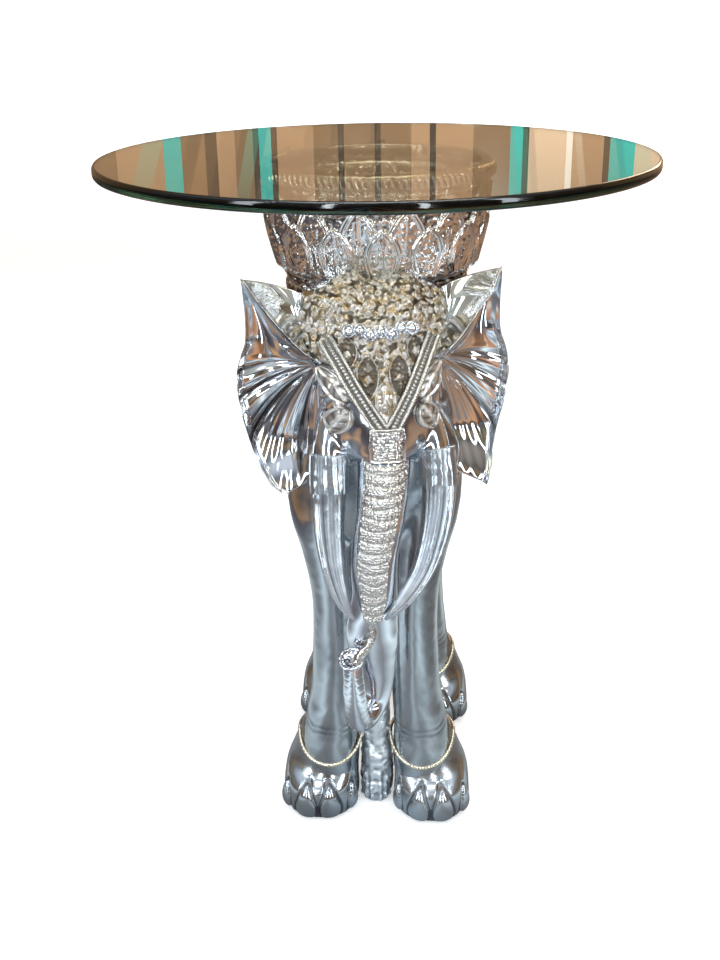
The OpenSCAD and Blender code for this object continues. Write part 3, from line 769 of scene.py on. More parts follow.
cap_side = np.radians(np.linspace(-84, 84, cap_cols))
cap_low = np.radians(np.interp(np.abs(np.degrees(cap_side)), [0, 10, 20, 30, 40, 52, 66, 84],
                               [-24, -10, 6, 20, 26, 24, 27, 40]))
cap_high = np.radians(124)
cap_share = np.linspace(0, 1, cap_rows)[:, None]
cap_lift = cap_low[None] + cap_share * (cap_high - cap_low[None])
cap_ways = np.stack([np.sin(cap_side)[None] * np.cos(cap_lift * 0.75), -np.cos(cap_side)[None] * np.cos(cap_lift),
                     np.sin(cap_lift)], -1)
cap_spots, cap_normals = cast_onto(face_tree, np.broadcast_to(cap_centre, cap_ways.shape), unit(cap_ways))
cx, cz = cap_spots[..., 0], cap_spots[..., 2]
cap_height = 3.1 * rosettes(cap_spots, 6.2, 41) + 0.8 * grain(cap_spots, 2.4, 43)
cap_film = 1.2 * (cap_height - np.median(cap_height)) + 0.1
for x0, top, wide, long in cap_drops:
    d = drop_shape(cx, cz, x0, top, wide, long)
    inside = d > 0
    rim = bell(d, 0.9, 0.8)
    vein = bell(cx, x0, 0.9)
    boss = dome(((cx - x0) ** 2 + (cz - top + long * 0.5) ** 2) / 10.0)
    field = 0.7 * vein + 0.4 * grain(cap_spots, 3.0, 44) if x0 == 0 else 1.7 * rosettes(cap_spots, 3.6, 45) - 0.6
    leaf_height = 1.2 + 1.7 * rim + field + 1.8 * boss + 0.5 * np.sqrt(np.clip(d, 0, 9) / 3)
    cap_height = np.where(inside, leaf_height, cap_height)
    cap_film = np.where(inside, 1.4 * leaf_height - 2.1, cap_film)
cap_height = np.clip(cap_height, -1.2, 6)
fade = step(0, 0.03, cap_share)
cap_above = (1.6 + cap_height) * fade + 0.2
cap = laid_on("forehead_cap", cap_spots, cap_normals, cap_above, 1.2, cap_film)
turn_object(cap)
champagne_grains = [
    (0.0, (0.42, 0.37, 0.31)), (0.22, (0.95, 0.76, 0.48)), (0.36, (0.85, 0.80, 0.73)), (0.6, (0.96, 0.96, 0.96)),
    (1.0, (1.0, 1.0, 1.0)),
]
champagne = plated("champagne_relief_plate", (0.58, 0.56, 0.53), (0.10, 0.085, 0.065), 0.14, peel_scale=200.0,
                   metal=0.55, speckle=champagne_grains)
dress(cap, champagne, "forehead_plate", slot="silver_relief")

# ---------------------------------------------------------------------------
# Forehead stones
# A row of round polished bosses in plain cups is set across the cap.


def face_at(x, z):
    """Points on the unturned face straight behind a front view of it."""
    x, z = np.broadcast_arrays(np.asarray(x, float), np.asarray(z, float))
    starts = np.stack([x, np.full(x.shape, -300.0), z], -1)
    return cast_onto(face_tree, starts, np.broadcast_to(Y_AXIS, starts.shape))


def boss(name, spot, normal, radius, cup=1.28):
    """A domed stone in a raised round cup."""
    n = unit(normal)
    u = unit(np.cross(n, Z_AXIS))
    v = np.cross(n, u)
    profile = [(cup * 1.12, -0.6), (cup * 1.15, 0.25), (cup * 1.05, 0.5), (cup * 0.98, 0.3), (1.0, 0.28), (0.94, 0.62),
               (0.75, 0.92), (0.42, 1.1), (0.03, 1.16)]
    rows = curve(profile, 40)
    grid = np.stack([hoop(spot + n * (h * radius), u, v, r * radius, r * radius, 2.0, 40) for r, h in rows])
    return shell(name, grid, np.interp(rows[:, 0], [0, 0.95, 1.0, 1.2], [0.4, 0.3, -0.7, 0.1])[:, None] * np.ones(40))


stone_parts = []
for i in range(7):
    x = (i - 3) * 8.6
    spot, normal = face_at([[x]] * 3, [[503 + 0.006 * x * x + 2.5 * (i % 2)]] * 3)
    stone_parts.append(boss("stone", spot[1, 0] + normal[1, 0] * 2.4, normal[1, 0], 4.0))
stones = turn_object(finish_mesh("forehead_stone_row", *joined(stone_parts)))
dress(stones, smooth_silver, "forehead_stones", slot="silver_relief")

# ---------------------------------------------------------------------------
# Harness straps
# Two flat straps run down the forehead and meet over the trunk. Each is a thin casting with
# two raised cords and a line of seed beads in the channel between them.

rubbed_grey = plated("rubbed_grey_relief_plate", (0.58, 0.575, 0.555), (0.15, 0.14, 0.12), 0.2, peel_scale=200.0,
                     metal=0.9)
strap_rows, strap_half = 260, 6.4


def build_strap(side):
    path = curve([(44, 500), (40, 493), (33, 480), (24, 463), (14, 446), (4, 430)], strap_rows)
    ahead = unit(np.gradient(path, axis=0))
    across = np.linspace(-1, 1, 46)
    x = side * (path[:, 0, None] - ahead[:, 1, None] * strap_half * across)
    z = path[:, 1, None] + ahead[:, 0, None] * strap_half * across
    spots, normals = face_at(x, z)
    v = np.abs(across)[None] * np.ones((strap_rows, 1))
    run = np.linspace(0, 110, strap_rows)[:, None]
    cords = 2.3 * dome(((v - 0.72) / 0.27) ** 2)
    twist = 0.35 * np.sin((run + 5 * across[None]) * 2.6) * (cords > 0.8)
    seeds = 1.5 * dome((v / 0.32) ** 2 + (((run / 3.4) % 1 - 0.5) / 0.52) ** 2)
    height = cords + twist + seeds
    name = "harness_strap_" + HANDS[side]
    strap = turn_object(laid_on(name + "_band", spots, normals, 4.2 + height, 1.2, height - 1.0))
    return dress(strap, rubbed_grey, name, slot="silver_relief")


for side in HANDS:
    build_strap(side)

# ---------------------------------------------------------------------------
# Harness medallion
# A small square plaque hangs where the straps meet. It has a plain frame round a field of
# close-set crystal grains.

plaque_half, plaque_tall, plaque_mid = 13.5, 14, 417
px, pz = np.meshgrid(np.linspace(-plaque_half, plaque_half, 150),
                     np.linspace(plaque_mid + plaque_tall, plaque_mid - plaque_tall, 150))
plaque_spots, plaque_normals = face_at(px, pz)
plaque_edge = 1 - np.maximum(np.abs(px) / plaque_half, np.abs(pz - plaque_mid) / plaque_tall)
plaque_grit, _ = pebbles(np.stack([px, 0 * px, pz], -1), 2.5, 51)
plaque_height = 2.0 * bell(plaque_edge, 0.09, 0.07) + step(0.17, 0.24, plaque_edge) * (1.9 - 1.8 * plaque_grit)
plaque = laid_on("harness_medallion_plaque", plaque_spots, plaque_normals, 4.6 + plaque_height, 1.2,
                 plaque_height - 1.0)
turn_object(plaque)
dress(plaque, relief_silver, "harness_medallion", slot="silver_relief")

# ---------------------------------------------------------------------------
# Eyes
# Each eye is a small domed boss under two pointed, veined leaves that stand out from the
# cheek. They are cast with the eye and bonded into a shallow seat.

leaf_silver = plated("leaf_silver_plate", (0.90, 0.89, 0.86), (0.17, 0.15, 0.13), 0.16, peel_scale=120.0, metal=0.7)


def leaf(x0, z0, angle, long, wide, rows=70, cols=50):
    """A raised pointed leaf lying on the face, from a stem point along an angle."""
    u = np.linspace(0, 1, rows)[:, None]
    v = np.linspace(-1, 1, cols)[None]
    half = wide * np.sin(np.pi * np.clip(u, 0.015, 0.985) ** 0.85) ** 0.7
    x = x0 + math.cos(angle) * u * long - math.sin(angle) * half * v
    z = z0 + math.sin(angle) * u * long + math.cos(angle) * half * v
    spots, normals = face_at(x, z)
    ribs = np.abs(np.sin((u * 4.2 + np.abs(v) * 0.9) * np.pi)) ** 0.7
    edge_and_vein = 1.7 * bell(np.abs(v), 0.86, 0.13) + 1.6 * bell(v, 0, 0.12)
    height = edge_and_vein + 0.8 * ribs * (1 - np.abs(v)) + 0.6
    height *= step(0, 0.08, u) * step(1, 0.94, u)
    swell = 2.8 * dome(v**2) * np.sin(np.pi * np.clip(u, 0, 1)) ** 0.6
    return laid_on("leaf", spots, normals, 1.6 + swell + height, 1.5, 1.2 * height - 1.6)


def build_eye(side):
    spot, normal = face_at([[side * 37]] * 3, [[449]] * 3)
    parts = [
        boss("eyeball", spot[1, 0] + normal[1, 0] * 0.5, normal[1, 0], 3.6, 1.3),
        leaf(side * 29, 451, math.radians(90 - side * 38), 34, 9.5),
        leaf(side * 30, 447, math.radians(-90 + side * 30), 30, 9.5),
    ]
    name = "eye_" + HANDS[side]
    eye = turn_object(finish_mesh(name + "_leaves", *joined(parts)))
    return dress(eye, leaf_silver, name)


for side in HANDS:
    build_eye(side)

# ---------------------------------------------------------------------------
# Lower jaw
# A small pointed lip behind the trunk, cast with the head and left smooth.

jaw_path = [(0, -112, 404, 27, 14), (0, -112, 396, 25, 13), (0, -111, 386, 20, 11), (0, -110, 377, 13, 8),
            (0, -109, 371, 4, 3)]
jaw_rows = curve(jaw_path, 60)
jaw_grid = np.stack([hoop((x, y, z), X_AXIS, Y_AXIS, a, b, 2.2, 90) for x, y, z, a, b in jaw_rows])
jaw_wave = 0.3 * grain(jaw_grid, 8.0, 61)
jaw = turn_object(shell("lower_jaw_lip", raised(jaw_grid, jaw_wave), jaw_wave))
dress(jaw, smooth_silver, "lower_jaw")

# ---------------------------------------------------------------------------
# Ears
# Each ear is a broad thin casting bonded into a slot in the cheek. Its top folds forward
# along a sharp crest, pleats fan out from its root, and its lower hem curls forward.

# share down the ear, then the outer edge and the root edge as points in millimetres
ear_edges = [
    (0.00, 112, -99, 547, 60, -93, 531), (0.07, 111, -100, 536, 60, -96, 522), (0.18, 110, -101, 516, 58, -102, 510),
    (0.30, 111, -101, 494, 55, -110, 494), (0.40, 117, -99, 476, 49, -120, 478), (0.50, 120, -97, 458, 45, -124, 460),
    (0.62, 118, -96, 434, 43, -124, 442), (0.74, 113, -96, 410, 44, -122, 426),
]
pointed_hem = [(0.84, 109, -98, 389, 47, -118, 410), (0.93, 105, -102, 370, 53, -114, 394),
               (1.00, 98, -107, 355, 60, -110, 375)]
round_hem = [(0.84, 107, -98, 388, 47, -118, 410), (0.93, 98, -102, 370, 54, -114, 392),
             (0.97, 90, -105, 362, 59, -111, 380), (1.00, 80, -108, 359, 65, -110, 368)]
ear_rows, ear_cols = 330, 220
pleat_root = (50.0, 476.0)
ear_silver = plated("ear_silver_plate", (0.74, 0.76, 0.79), (0.13, 0.12, 0.125), 0.08, peel_scale=45.0,
                    peel_depth=0.0003)


def build_ear(side):
    rows = np.asarray(ear_edges + (pointed_hem if side > 0 else round_hem))
    down = np.linspace(0, 1, ear_rows)
    smooth = curve(rows, 1200)
    rows = np.stack([np.interp(down, smooth[:, 0], smooth[:, k]) for k in range(1, 7)], -1)
    u = np.linspace(0, 1, ear_cols)[None, :]
    v = down[:, None]
    outer, root = rows[:, None, :3], rows[:, None, 3:]
    base = root + (outer - root) * u[..., None]
    crest_at = np.clip(0.96 - v / 0.40 * 0.96, 0, 1)
    past = (u - crest_at) / np.maximum(1 - crest_at, 0.04)
    before = (crest_at - u) / np.maximum(crest_at, 0.04)
    crest_high = 20 * step(0.46, 0.30, v) * step(-0.03, 0.10, v)
    fold = np.where(u < crest_at, crest_high * np.clip(1 - before, 0, 1) ** 0.85, crest_high * np.exp(-past * 3.2))
    lip = 3.0 * bell(before, 0.93, 0.09) * step(0.40, 0.30, v) * (u < crest_at)
    cord = 2.0 * bell((u - crest_at) * 60, 0, 1.7) * step(0.44, 0.38, v)
    hollow = -13 * np.sin(np.pi * np.clip(past, 0, 1)) * step(0.0, 0.15, v) * step(1.0, 0.78, v)
    dish = -7 * np.sin(np.pi * np.clip(before, 0, 1)) * step(0.44, 0.30, v) * (u < crest_at)
    out_by, down_by = base[..., 0] - pleat_root[0], pleat_root[1] - base[..., 2]
    fan = np.degrees(np.arctan2(out_by, np.maximum(down_by, -40)))
    reach = np.hypot(out_by, down_by)
    pleat_zone = step(96, 78, fan) * step(2, 26, reach)
    bent = fan + 0.09 * reach + 3.5 * np.sin(np.radians(fan * 5.2))
    wave = 2 * np.abs(np.sin(np.radians(bent * 180 / 23.0))) ** 0.8 - 1
    pleats = (0.4 if side > 0 else 0.95) * wave * (1.4 + 0.036 * reach) * pleat_zone * step(1.02, 0.90, v)
    fine = 0.15 * np.sin(np.radians((fan + 0.12 * reach) * 360 / 5.2)) * pleat_zone
    hem = 11 * step(0.86, 1.0, v) ** 1.3 + 3.0 * step(0.9, 1.0, u) * step(0.2, 0.5, v)
    brow = 2.2 * bell((1 - u) * 60, 0, 2.2) * step(0.0, 0.05, v)
    forward = fold + lip + cord + hollow + dish + pleats + fine + hem + brow
    mid = base.copy()
    mid[..., 1] -= forward
    back = mid.copy()
    from_edge = np.minimum(1 - u, np.minimum(v, 1 - v) * 3) + 0.02
    thick = 5.0 * np.sqrt(np.clip(from_edge * 12, 0, 1))
    back[..., 1] += 0.4 + thick
    for grid in (mid, back):
        grid[..., 0] *= side
    height = np.clip((pleats + cord + lip) * 0.5 + 0.15, -1.5, 2)
    name = "ear_" + HANDS[side]
    ear = turn_object(sheet_solid(name + "_sheet", mid, back, height))
    return dress(ear, ear_silver, name)


for side in HANDS:
    build_ear(side)

# ---------------------------------------------------------------------------
# Trunk
# The trunk hangs to knee height, swells a little and curls up again to an open tip. It is
# cast solid and smooth, and bonded to the face.

# x, y, z, half width, half depth and the share of the head's turn each point takes
trunk_form = [
    (0, -143, 408, 24, 22, 1), (0, -158, 385, 22.5, 21, 0.9), (0, -172, 352, 21, 19.5, 0.6),
    (0, -179, 315, 20, 18, 0.3), (0, -179, 278, 20, 17.5, 0.3), (1, -172, 244, 23, 17, 0.1),
    (3, -162, 214, 21, 15.5, 0), (6, -153, 186, 15.5, 13.5, 0), (6, -151, 166, 12.5, 12.5, 0),
    (1, -157, 153, 11.5, 11.5, 0), (-6, -170, 148, 11, 11, 0), (-10, -182, 158, 11, 11, 0),
    (-12, -189, 178, 10.5, 10.5, 0), (-13, -191, 203, 9.5, 9.5, 0), (-14, -190, 220, 8.5, 8.5, 0),
]
trunk_rows_raw = np.asarray(trunk_form, float)
trunk_rows_raw[:, :3] = turned(trunk_rows_raw[:, :3], trunk_rows_raw[:, 5])
trunk_grid = tube(trunk_rows_raw[:, :5].tolist(), 2.0, 110, 420)
trunk_run = np.linspace(0, 1, 420)[:, None]
curl_starts, curl_ends = step(0.66, 0.74, trunk_run), step(0.99, 0.95, trunk_run)
trunk_creases = -0.12 * bell((trunk_run * 46) % 1, 0.5, 0.13) * curl_starts * curl_ends
trunk_height = trunk_creases + 0.3 * grain(trunk_grid, 12.0, 71)
trunk = shell("trunk_cast", raised(trunk_grid, trunk_height), trunk_height)
dress(trunk, smooth_silver, "trunk")
trunk_tree = surface_of(trunk)

# ---------------------------------------------------------------------------
# Trunk band
# A tapering band of ribs runs down the front of the trunk under the medallion. Each rib is
# pebbled, and the band ends in a thin cord that swings down to the tip.

band_rows, band_cols = 520, 120
band_run = np.linspace(0, 1, band_rows)
band_z = 400 - band_run * 138
band_mid = turned(np.stack([np.interp(band_z, [262, 278, 400], [1.5, 0.5, 0]), np.full(band_rows, -170.0), band_z], -1),
                  np.interp(band_z, [230, 278, 315, 352, 385], [0.05, 0.3, 0.3, 0.6, 0.9]))[:, 0]
band_half = np.interp(band_run, [0, 0.15, 0.5, 0.85, 0.97, 1.0], [18.5, 17.5, 14.5, 10.5, 8.5, 4])
side_way = np.linspace(-1, 1, band_cols)[None]
band_x = band_mid[:, None] + band_half[:, None] * side_way
band_zz = np.broadcast_to(band_z[:, None] + 3.0 * side_way**2, band_x.shape)
starts = np.stack([band_x, np.full(band_x.shape, -300.0), band_zz], -1)
band_spots, band_normals = cast_onto(trunk_tree, starts, np.broadcast_to(Y_AXIS, starts.shape))
rib_phase = (np.broadcast_to(band_run[:, None], band_x.shape) ** 0.92 * 15 + 0.12 * grain(band_spots, 9.0, 85)) % 1
ribs = dome(((rib_phase - 0.5) / 0.5) ** 2)
band_grit, _ = pebbles(band_spots, 2.3, 81)
band_edge = step(1.0, 0.86, np.abs(side_way))
band_height = (1.9 * ribs + 1.7 * (0.6 - band_grit)) * band_edge
band_above = 0.5 + 1.2 * band_edge + band_height
band = laid_on("trunk_rib_band", band_spots, band_normals, band_above, 1.5, band_height - 1.0)
cord_path = [(2.5, -188, 268, 5.0, 4.0), (4, -190, 258, 4.0, 4.0), (4, -192, 248, 3.6, 3.6), (0, -194, 240, 3.8, 3.8),
             (-6, -196, 232, 4.4, 4.4), (-10, -197, 224, 5.0, 5.0)]
cord_grid = tube(cord_path, 2.0, 36, 150)
cord_grit = 0.45 * grain(cord_grid, 2.2, 83)
band_cord = shell("cord", raised(cord_grid, cord_grit), cord_grit)
trunk_band = finish_mesh("trunk_band", *joined([band, band_cord]))
dress(trunk_band, rubbed_grey, "trunk_scale_band", slot="silver_relief")

# ---------------------------------------------------------------------------
# Nostril ring
# The flared lip of the trunk tip is a separate cup bonded on the end. It opens upward, with
# a rolled edge and two nostrils in its floor.

tip = np.array([-14.0, -191.5, 222.0])
lean = unit(np.array([-0.12, -0.42, 0.9]))
tip_u = unit(np.cross(lean, Y_AXIS))
tip_v = np.cross(lean, tip_u)
cup_rows = curve([(8.4, -7), (8.6, -3), (9.6, 0), (11.2, 2.6), (12.0, 4.2), (11.8, 5.4), (10.6, 5.9), (9.4, 5.2),
                  (8.6, 3.6), (6.5, 2.6), (3.4, 2.2), (0.2, 2.1)], 110)
cup_grid = np.stack([hoop(tip + lean * h, tip_u, tip_v, r, r, 2.0, 110) for r, h in cup_rows])
cup_height = 0.5 * grain(cup_grid, 2.4, 91) * (cup_rows[:, 0] > 8.5)[:, None]
from_tip = cup_grid - tip
for s in (-1, 1):
    nostril = np.hypot(from_tip @ tip_u - s * 4.2, from_tip @ tip_v) / 3.0
    cup_height -= 3.0 * step(1.1, 0.6, nostril) * (np.arange(110) > 60)[:, None]
cup = shell("nostril_cup", cup_grid + lean * cup_height[..., None] * 0.8, cup_height)
dress(cup, smooth_silver, "trunk_nostril_ring")

# ---------------------------------------------------------------------------
# Tusk sleeves and tusks
# The tusks are broad grooved blades with a thick raised outer edge. Each is bonded into a
# plain sheath under the cheek, and the seam between the two shows as a dark line.

tusk_form = [
    (46, -144, 404, 15, 14, 1), (47, -148, 388, 15, 13.5, 1), (47.5, -152, 374, 15, 13, 1),
    (47, -158, 356, 14.2, 12, 0.9), (44, -169, 332, 12.5, 10.5, 0.7), (38, -181, 309, 10.2, 8.6, 0.5),
    (29, -190, 290, 7.6, 6.6, 0.3), (20, -195, 276, 4.6, 4.4, 0.15), (13, -197, 268, 1.4, 1.4, 0.1),
]


def blade_skin(side, low, high, swell, grooves):
    rows = curve(tusk_form, 1000)
    rows = rows[(rows[:, 2] <= high) & (rows[:, 2] >= low)]
    rows = rows[np.linspace(0, len(rows) - 1, 240).astype(int)]
    rows[:, 3:5] += swell
    rows[:, 0] *= side
    rows[:, :3] = turned(rows[:, :3], rows[:, 5])
    ahead = unit(np.gradient(rows[:, :3], axis=0))
    out = unit(np.cross(ahead, Y_AXIS))
    out *= np.sign(out[:, :1] * side)
    front = np.cross(ahead, out)
    front *= -np.sign(front[:, 1:2])
    t = full_turn(140)
    s = np.sin(t)
    a, b = swollen(np.cos(t), 0.86), swollen(s, 0.86)
    half_wide, half_deep = rows[:, 3, None], rows[:, 4, None]
    grid = rows[:, None, :3] + out[:, None] * (half_wide * a)[..., None] + front[:, None] * (half_deep * b)[..., None]
    ridge = bell(a, 0.82, 0.20) * (s > -0.45)
    channel = -bell(a, 0.40, 0.16) * (s > 0)
    flat_face = -0.6 * bell(a, -0.25, 0.4) * (s > 0)
    height = (2.6 * ridge + 1.3 * channel + 1.2 * flat_face)[None] * np.clip(half_wide / 12, 0.15, 1) * grooves
    run = np.linspace(0, 1, len(rows))[:, None]
    height = height + grooves * 0.22 * np.sin(a[None] * 24 + 3 * run) * np.clip(half_wide / 12, 0, 1) * (s > 0)
    height = height + 0.2 * grain(grid, 5.0, 95)
    return raised(grid, height), height


tusk_silver = plated("tusk_silver_plate", (0.50, 0.55, 0.60), (0.24, 0.26, 0.29), 0.22, peel_scale=70.0,
                     peel_depth=0.0003, metal=0.85)
for side, hand in HANDS.items():
    grid, height = blade_skin(side, 371, 403, 1.6, 0.3)
    dress(shell(f"tusk_sleeve_{hand}_sheath", grid, height), tusk_silver, "tusk_sleeve_" + hand)
    grid, height = blade_skin(side, 268.2, 376, -0.6, 1.0)
    dress(shell(f"tusk_{hand}_blade", grid, height), tusk_silver, "tusk_" + hand)

# ---------------------------------------------------------------------------
# Seat collar
# A low round collar ties the seat to the back. It is pebbled all over and runs in among the
# beads on the crown of the head.

def spun(rows, cols):
    """A grid of points turned about the middle of the seat, from rows of radius and height."""
    t = full_turn(cols)
    radius, level = rows[:, 0, None], rows[:, 1, None]
    return np.stack([radius * np.cos(t), radius * np.sin(t), np.broadcast_to(level, (len(rows), cols))], -1)


collar_profile = [(60, 506), (80, 508), (84, 513), (85, 519), (83, 525), (84, 531), (60, 532)]
collar_grid = spun(curve(collar_profile, 90), 700)
collar_height = 2.2 * rosettes(collar_grid, 8.5, 101) + 0.6 * grain(collar_grid, 2.5, 103)
collar = shell("seat_collar_ring", raised(collar_grid, collar_height), collar_height)
dress(collar, relief_silver, "seat_collar", slot="silver_relief")

# ---------------------------------------------------------------------------
# Seat bowl
# The hollow seat is turned like a lotus bowl. Two tiers of pointed petals with double
# outlines ring it, with small flowers and leaves filling the ground between them.


def petal_tier(t, z, count, shift, low, high, width):
    """How far inside the nearest petal a place is, and how far sideways from its middle."""
    pitch = 2 * np.pi / count
    side_at = ((t + shift * pitch) / pitch) % 1 - 0.5
    up = np.clip((z - low) / (high - low), 0, 1)
    belly = 0.72 + 0.28 * np.sin(up / 0.42 * np.pi / 2)
    point = np.abs(np.cos((up - 0.42) / 0.58 * np.pi / 2)) ** 0.62
    half = width * np.clip(np.where(up < 0.42, belly, point), 0, 1)
    inside = np.where((z > low) & (z < high), half - np.abs(side_at), -1.0)
    return inside, side_at


bowl_profile = [
    (0.5, 531), (60, 530), (78, 529.5), (84, 531), (87.5, 536), (88.5, 541), (90.5, 543), (93, 552), (97, 568),
    (100.5, 585), (102, 600), (102, 606), (96, 606.5), (93, 600), (89.5, 580), (84, 560), (72, 550), (50, 546),
    (0.5, 545),
]
bowl_rows, bowl_cols = 330, 900
bowl_grid = spun(curve(bowl_profile, bowl_rows), bowl_cols)
bz = bowl_grid[..., 2]
bt = np.broadcast_to(full_turn(bowl_cols), bz.shape)
outside = (np.arange(bowl_rows) < bowl_rows * 11.5 / 18)[:, None] & (bz > 540)
bowl_height = 1.3 * rosettes(bowl_grid, 7.5, 111) + 0.6 * grain(bowl_grid, 3.0, 113)
for count, shift, low, high, width, lift in ((15, 0.5, 541, 600, 0.47, 0.6), (15, 0.0, 541, 583, 0.40, 1.9)):
    inside, side_at = petal_tier(bt, bz, count, shift, low, high, width)
    d = inside * 2 * np.pi * 97 / count
    outline = bell(d, 0.9, 0.85) + 0.75 * bell(d, 4.0, 0.8)
    belly = 1.2 * np.sqrt(np.clip(d / 10, 0, 1))
    vein = 0.7 * bell(side_at * 40, 0, 1.0)
    heart = 1.5 * rosettes(bowl_grid, 6.2, 117) * step(5.2, 6.4, d)
    tier = lift + 1.7 * outline + belly + vein + heart
    bowl_height = np.where(inside > 0, tier, bowl_height)
ledge = 1.4 * bell(bz, 541, 1.5) + 0.9 * bell(bz, 602, 1.3)
bowl_height = np.where(outside, bowl_height, 1.1 * rosettes(bowl_grid, 8.5, 119)) + ledge
bowl_height *= step(20, 60, np.abs(bowl_grid[..., :2]).max(-1)) * 0.85 + 0.15
bowl_height = np.where(bz > 605.0, np.minimum(bowl_height, 0), bowl_height)
bowl = shell("seat_lotus_bowl", raised(bowl_grid, bowl_height), bowl_height)
dress(bowl, relief_silver, "seat_bowl", slot="silver_relief")

# ---------------------------------------------------------------------------
# Seat rim
# A rounded rim finishes the bowl and carries the glass. Its outside is worked as a rope
# between two plain beads.

rim_profile = [(94.5, 606.2), (100, 605.8), (104, 606.2), (106.3, 608), (107, 611), (106.8, 615), (105.6, 618),
               (102.5, 619.6), (97, 619.8), (94.6, 618.5), (94.2, 612), (94.5, 606.2)]
rim_rows, rim_cols = 96, 1080
rim_grid = spun(curve(rim_profile, rim_rows), rim_cols)
rim_mark = np.linspace(0, 11, rim_rows)[:, None]
rope = np.sin(full_turn(rim_cols) * 108 + rim_mark * 1.6) * bell(rim_mark, 4.2, 1.3)
rim_height = 0.9 * rope + 0.35 * grain(rim_grid, 4.0, 121)
rim_height = np.where(rim_grid[..., 2] > 618.8, np.minimum(rim_height, 0), rim_height)
rim = loop_skin("seat_rope_rim", raised(rim_grid, rim_height)[:-1], rim_height[:-1])
dress(rim, relief_silver, "seat_rim", slot="silver_relief")

# ---------------------------------------------------------------------------
# Bumpers
# Six clear silicone dots on the rim keep the loose glass from sliding. They are soft,
# slightly milky discs with a matt skin.


def build_rubber():
    mat, tree, skin = new_material("clear_silicone")
    cloud = noise(tree, 420.0, 3.0)
    feed(tree, skin, {
        "Base Color": ramp(tree, cloud, [(0.35, (0.86, 0.88, 0.86)), (0.7, (0.74, 0.77, 0.76))]),
        "Roughness": ramp(tree, cloud, [(0.3, (0.28, 0.28, 0.28)), (0.7, (0.45, 0.45, 0.45))]),
        "Transmission Weight": 0.7, "IOR": 1.41})
    return mat


recoat("glass_bumpers", build_rubber())

# ---------------------------------------------------------------------------
# Glass top
# The round top is one sheet of tempered glass with a polished, rounded edge. It has a
# faint bronze-olive body, and looks dark green where the light runs along inside the edge.


def build_glass(name, tint, deep, rough):
    """Clear glass with a slow drift in its tint and faint wiping marks on its skin."""
    mat, tree, skin = new_material(name)
    smear = noise(tree, 26.0, 5.0, distortion=1.5)
    feed(tree, skin, {
        "Base Color": ramp(tree, noise(tree, 3.5), [(0.35, tint), (0.65, deep)]),
        "Roughness": ramp(tree, smear, [(0.45, (rough,) * 3), (0.8, (rough * 4 + 0.01,) * 3)]),
        "Transmission Weight": 1.0, "IOR": 1.52})
    return mat


glass_profile = np.array([
    (247.2, 622.0), (248.8, 622.5), (249.7, 623.7), (250.0, 625.2), (250.0, 628.8), (249.7, 630.3), (248.8, 631.5),
    (247.2, 632.0)])
glass = shell("glass_sheet", spun(glass_profile, 360))
clear_sheet = build_glass("bronze_glass", (0.80, 0.76, 0.62), (0.74, 0.70, 0.56), 0.002)
dress(glass, clear_sheet, "glass_top", slot="clear_glass", body="glass")
glass.data.materials.append(build_glass("green_glass_edge", (0.06, 0.18, 0.14), (0.03, 0.10, 0.08), 0.06))
for face in glass.data.polygons:
    from_middle = math.hypot(face.center.x, face.center.y) / MM
    face.material_index = 1 if from_middle > 247.5 else 0
    face.use_smooth = from_middle > 240

# ---------------------------------------------------------------------------
# Studio
# A pale floor that sweeps up into a wall, soft panels of light round the table, and a camera
# above its front looking down. Floor, wall and room show their colours only in mirrors.

WHITE = (1.0, 1.0, 1.0, 1.0)


def stretched(tree, value, low, high):
    """A value stretched to run from 0 to 1 between two limits."""
    return node(tree, "ShaderNodeMapRange", {"Value": value, "From Min": low, "From Max": high}).outputs["Result"]


def seen_and_lit(tree, seen, lit):
    """One colour for the camera, and another for whatever mirrors the backdrop."""
    path = node(tree, "ShaderNodeLightPath")
    return blend(tree, lit, seen, path.outputs["Is Camera Ray"])


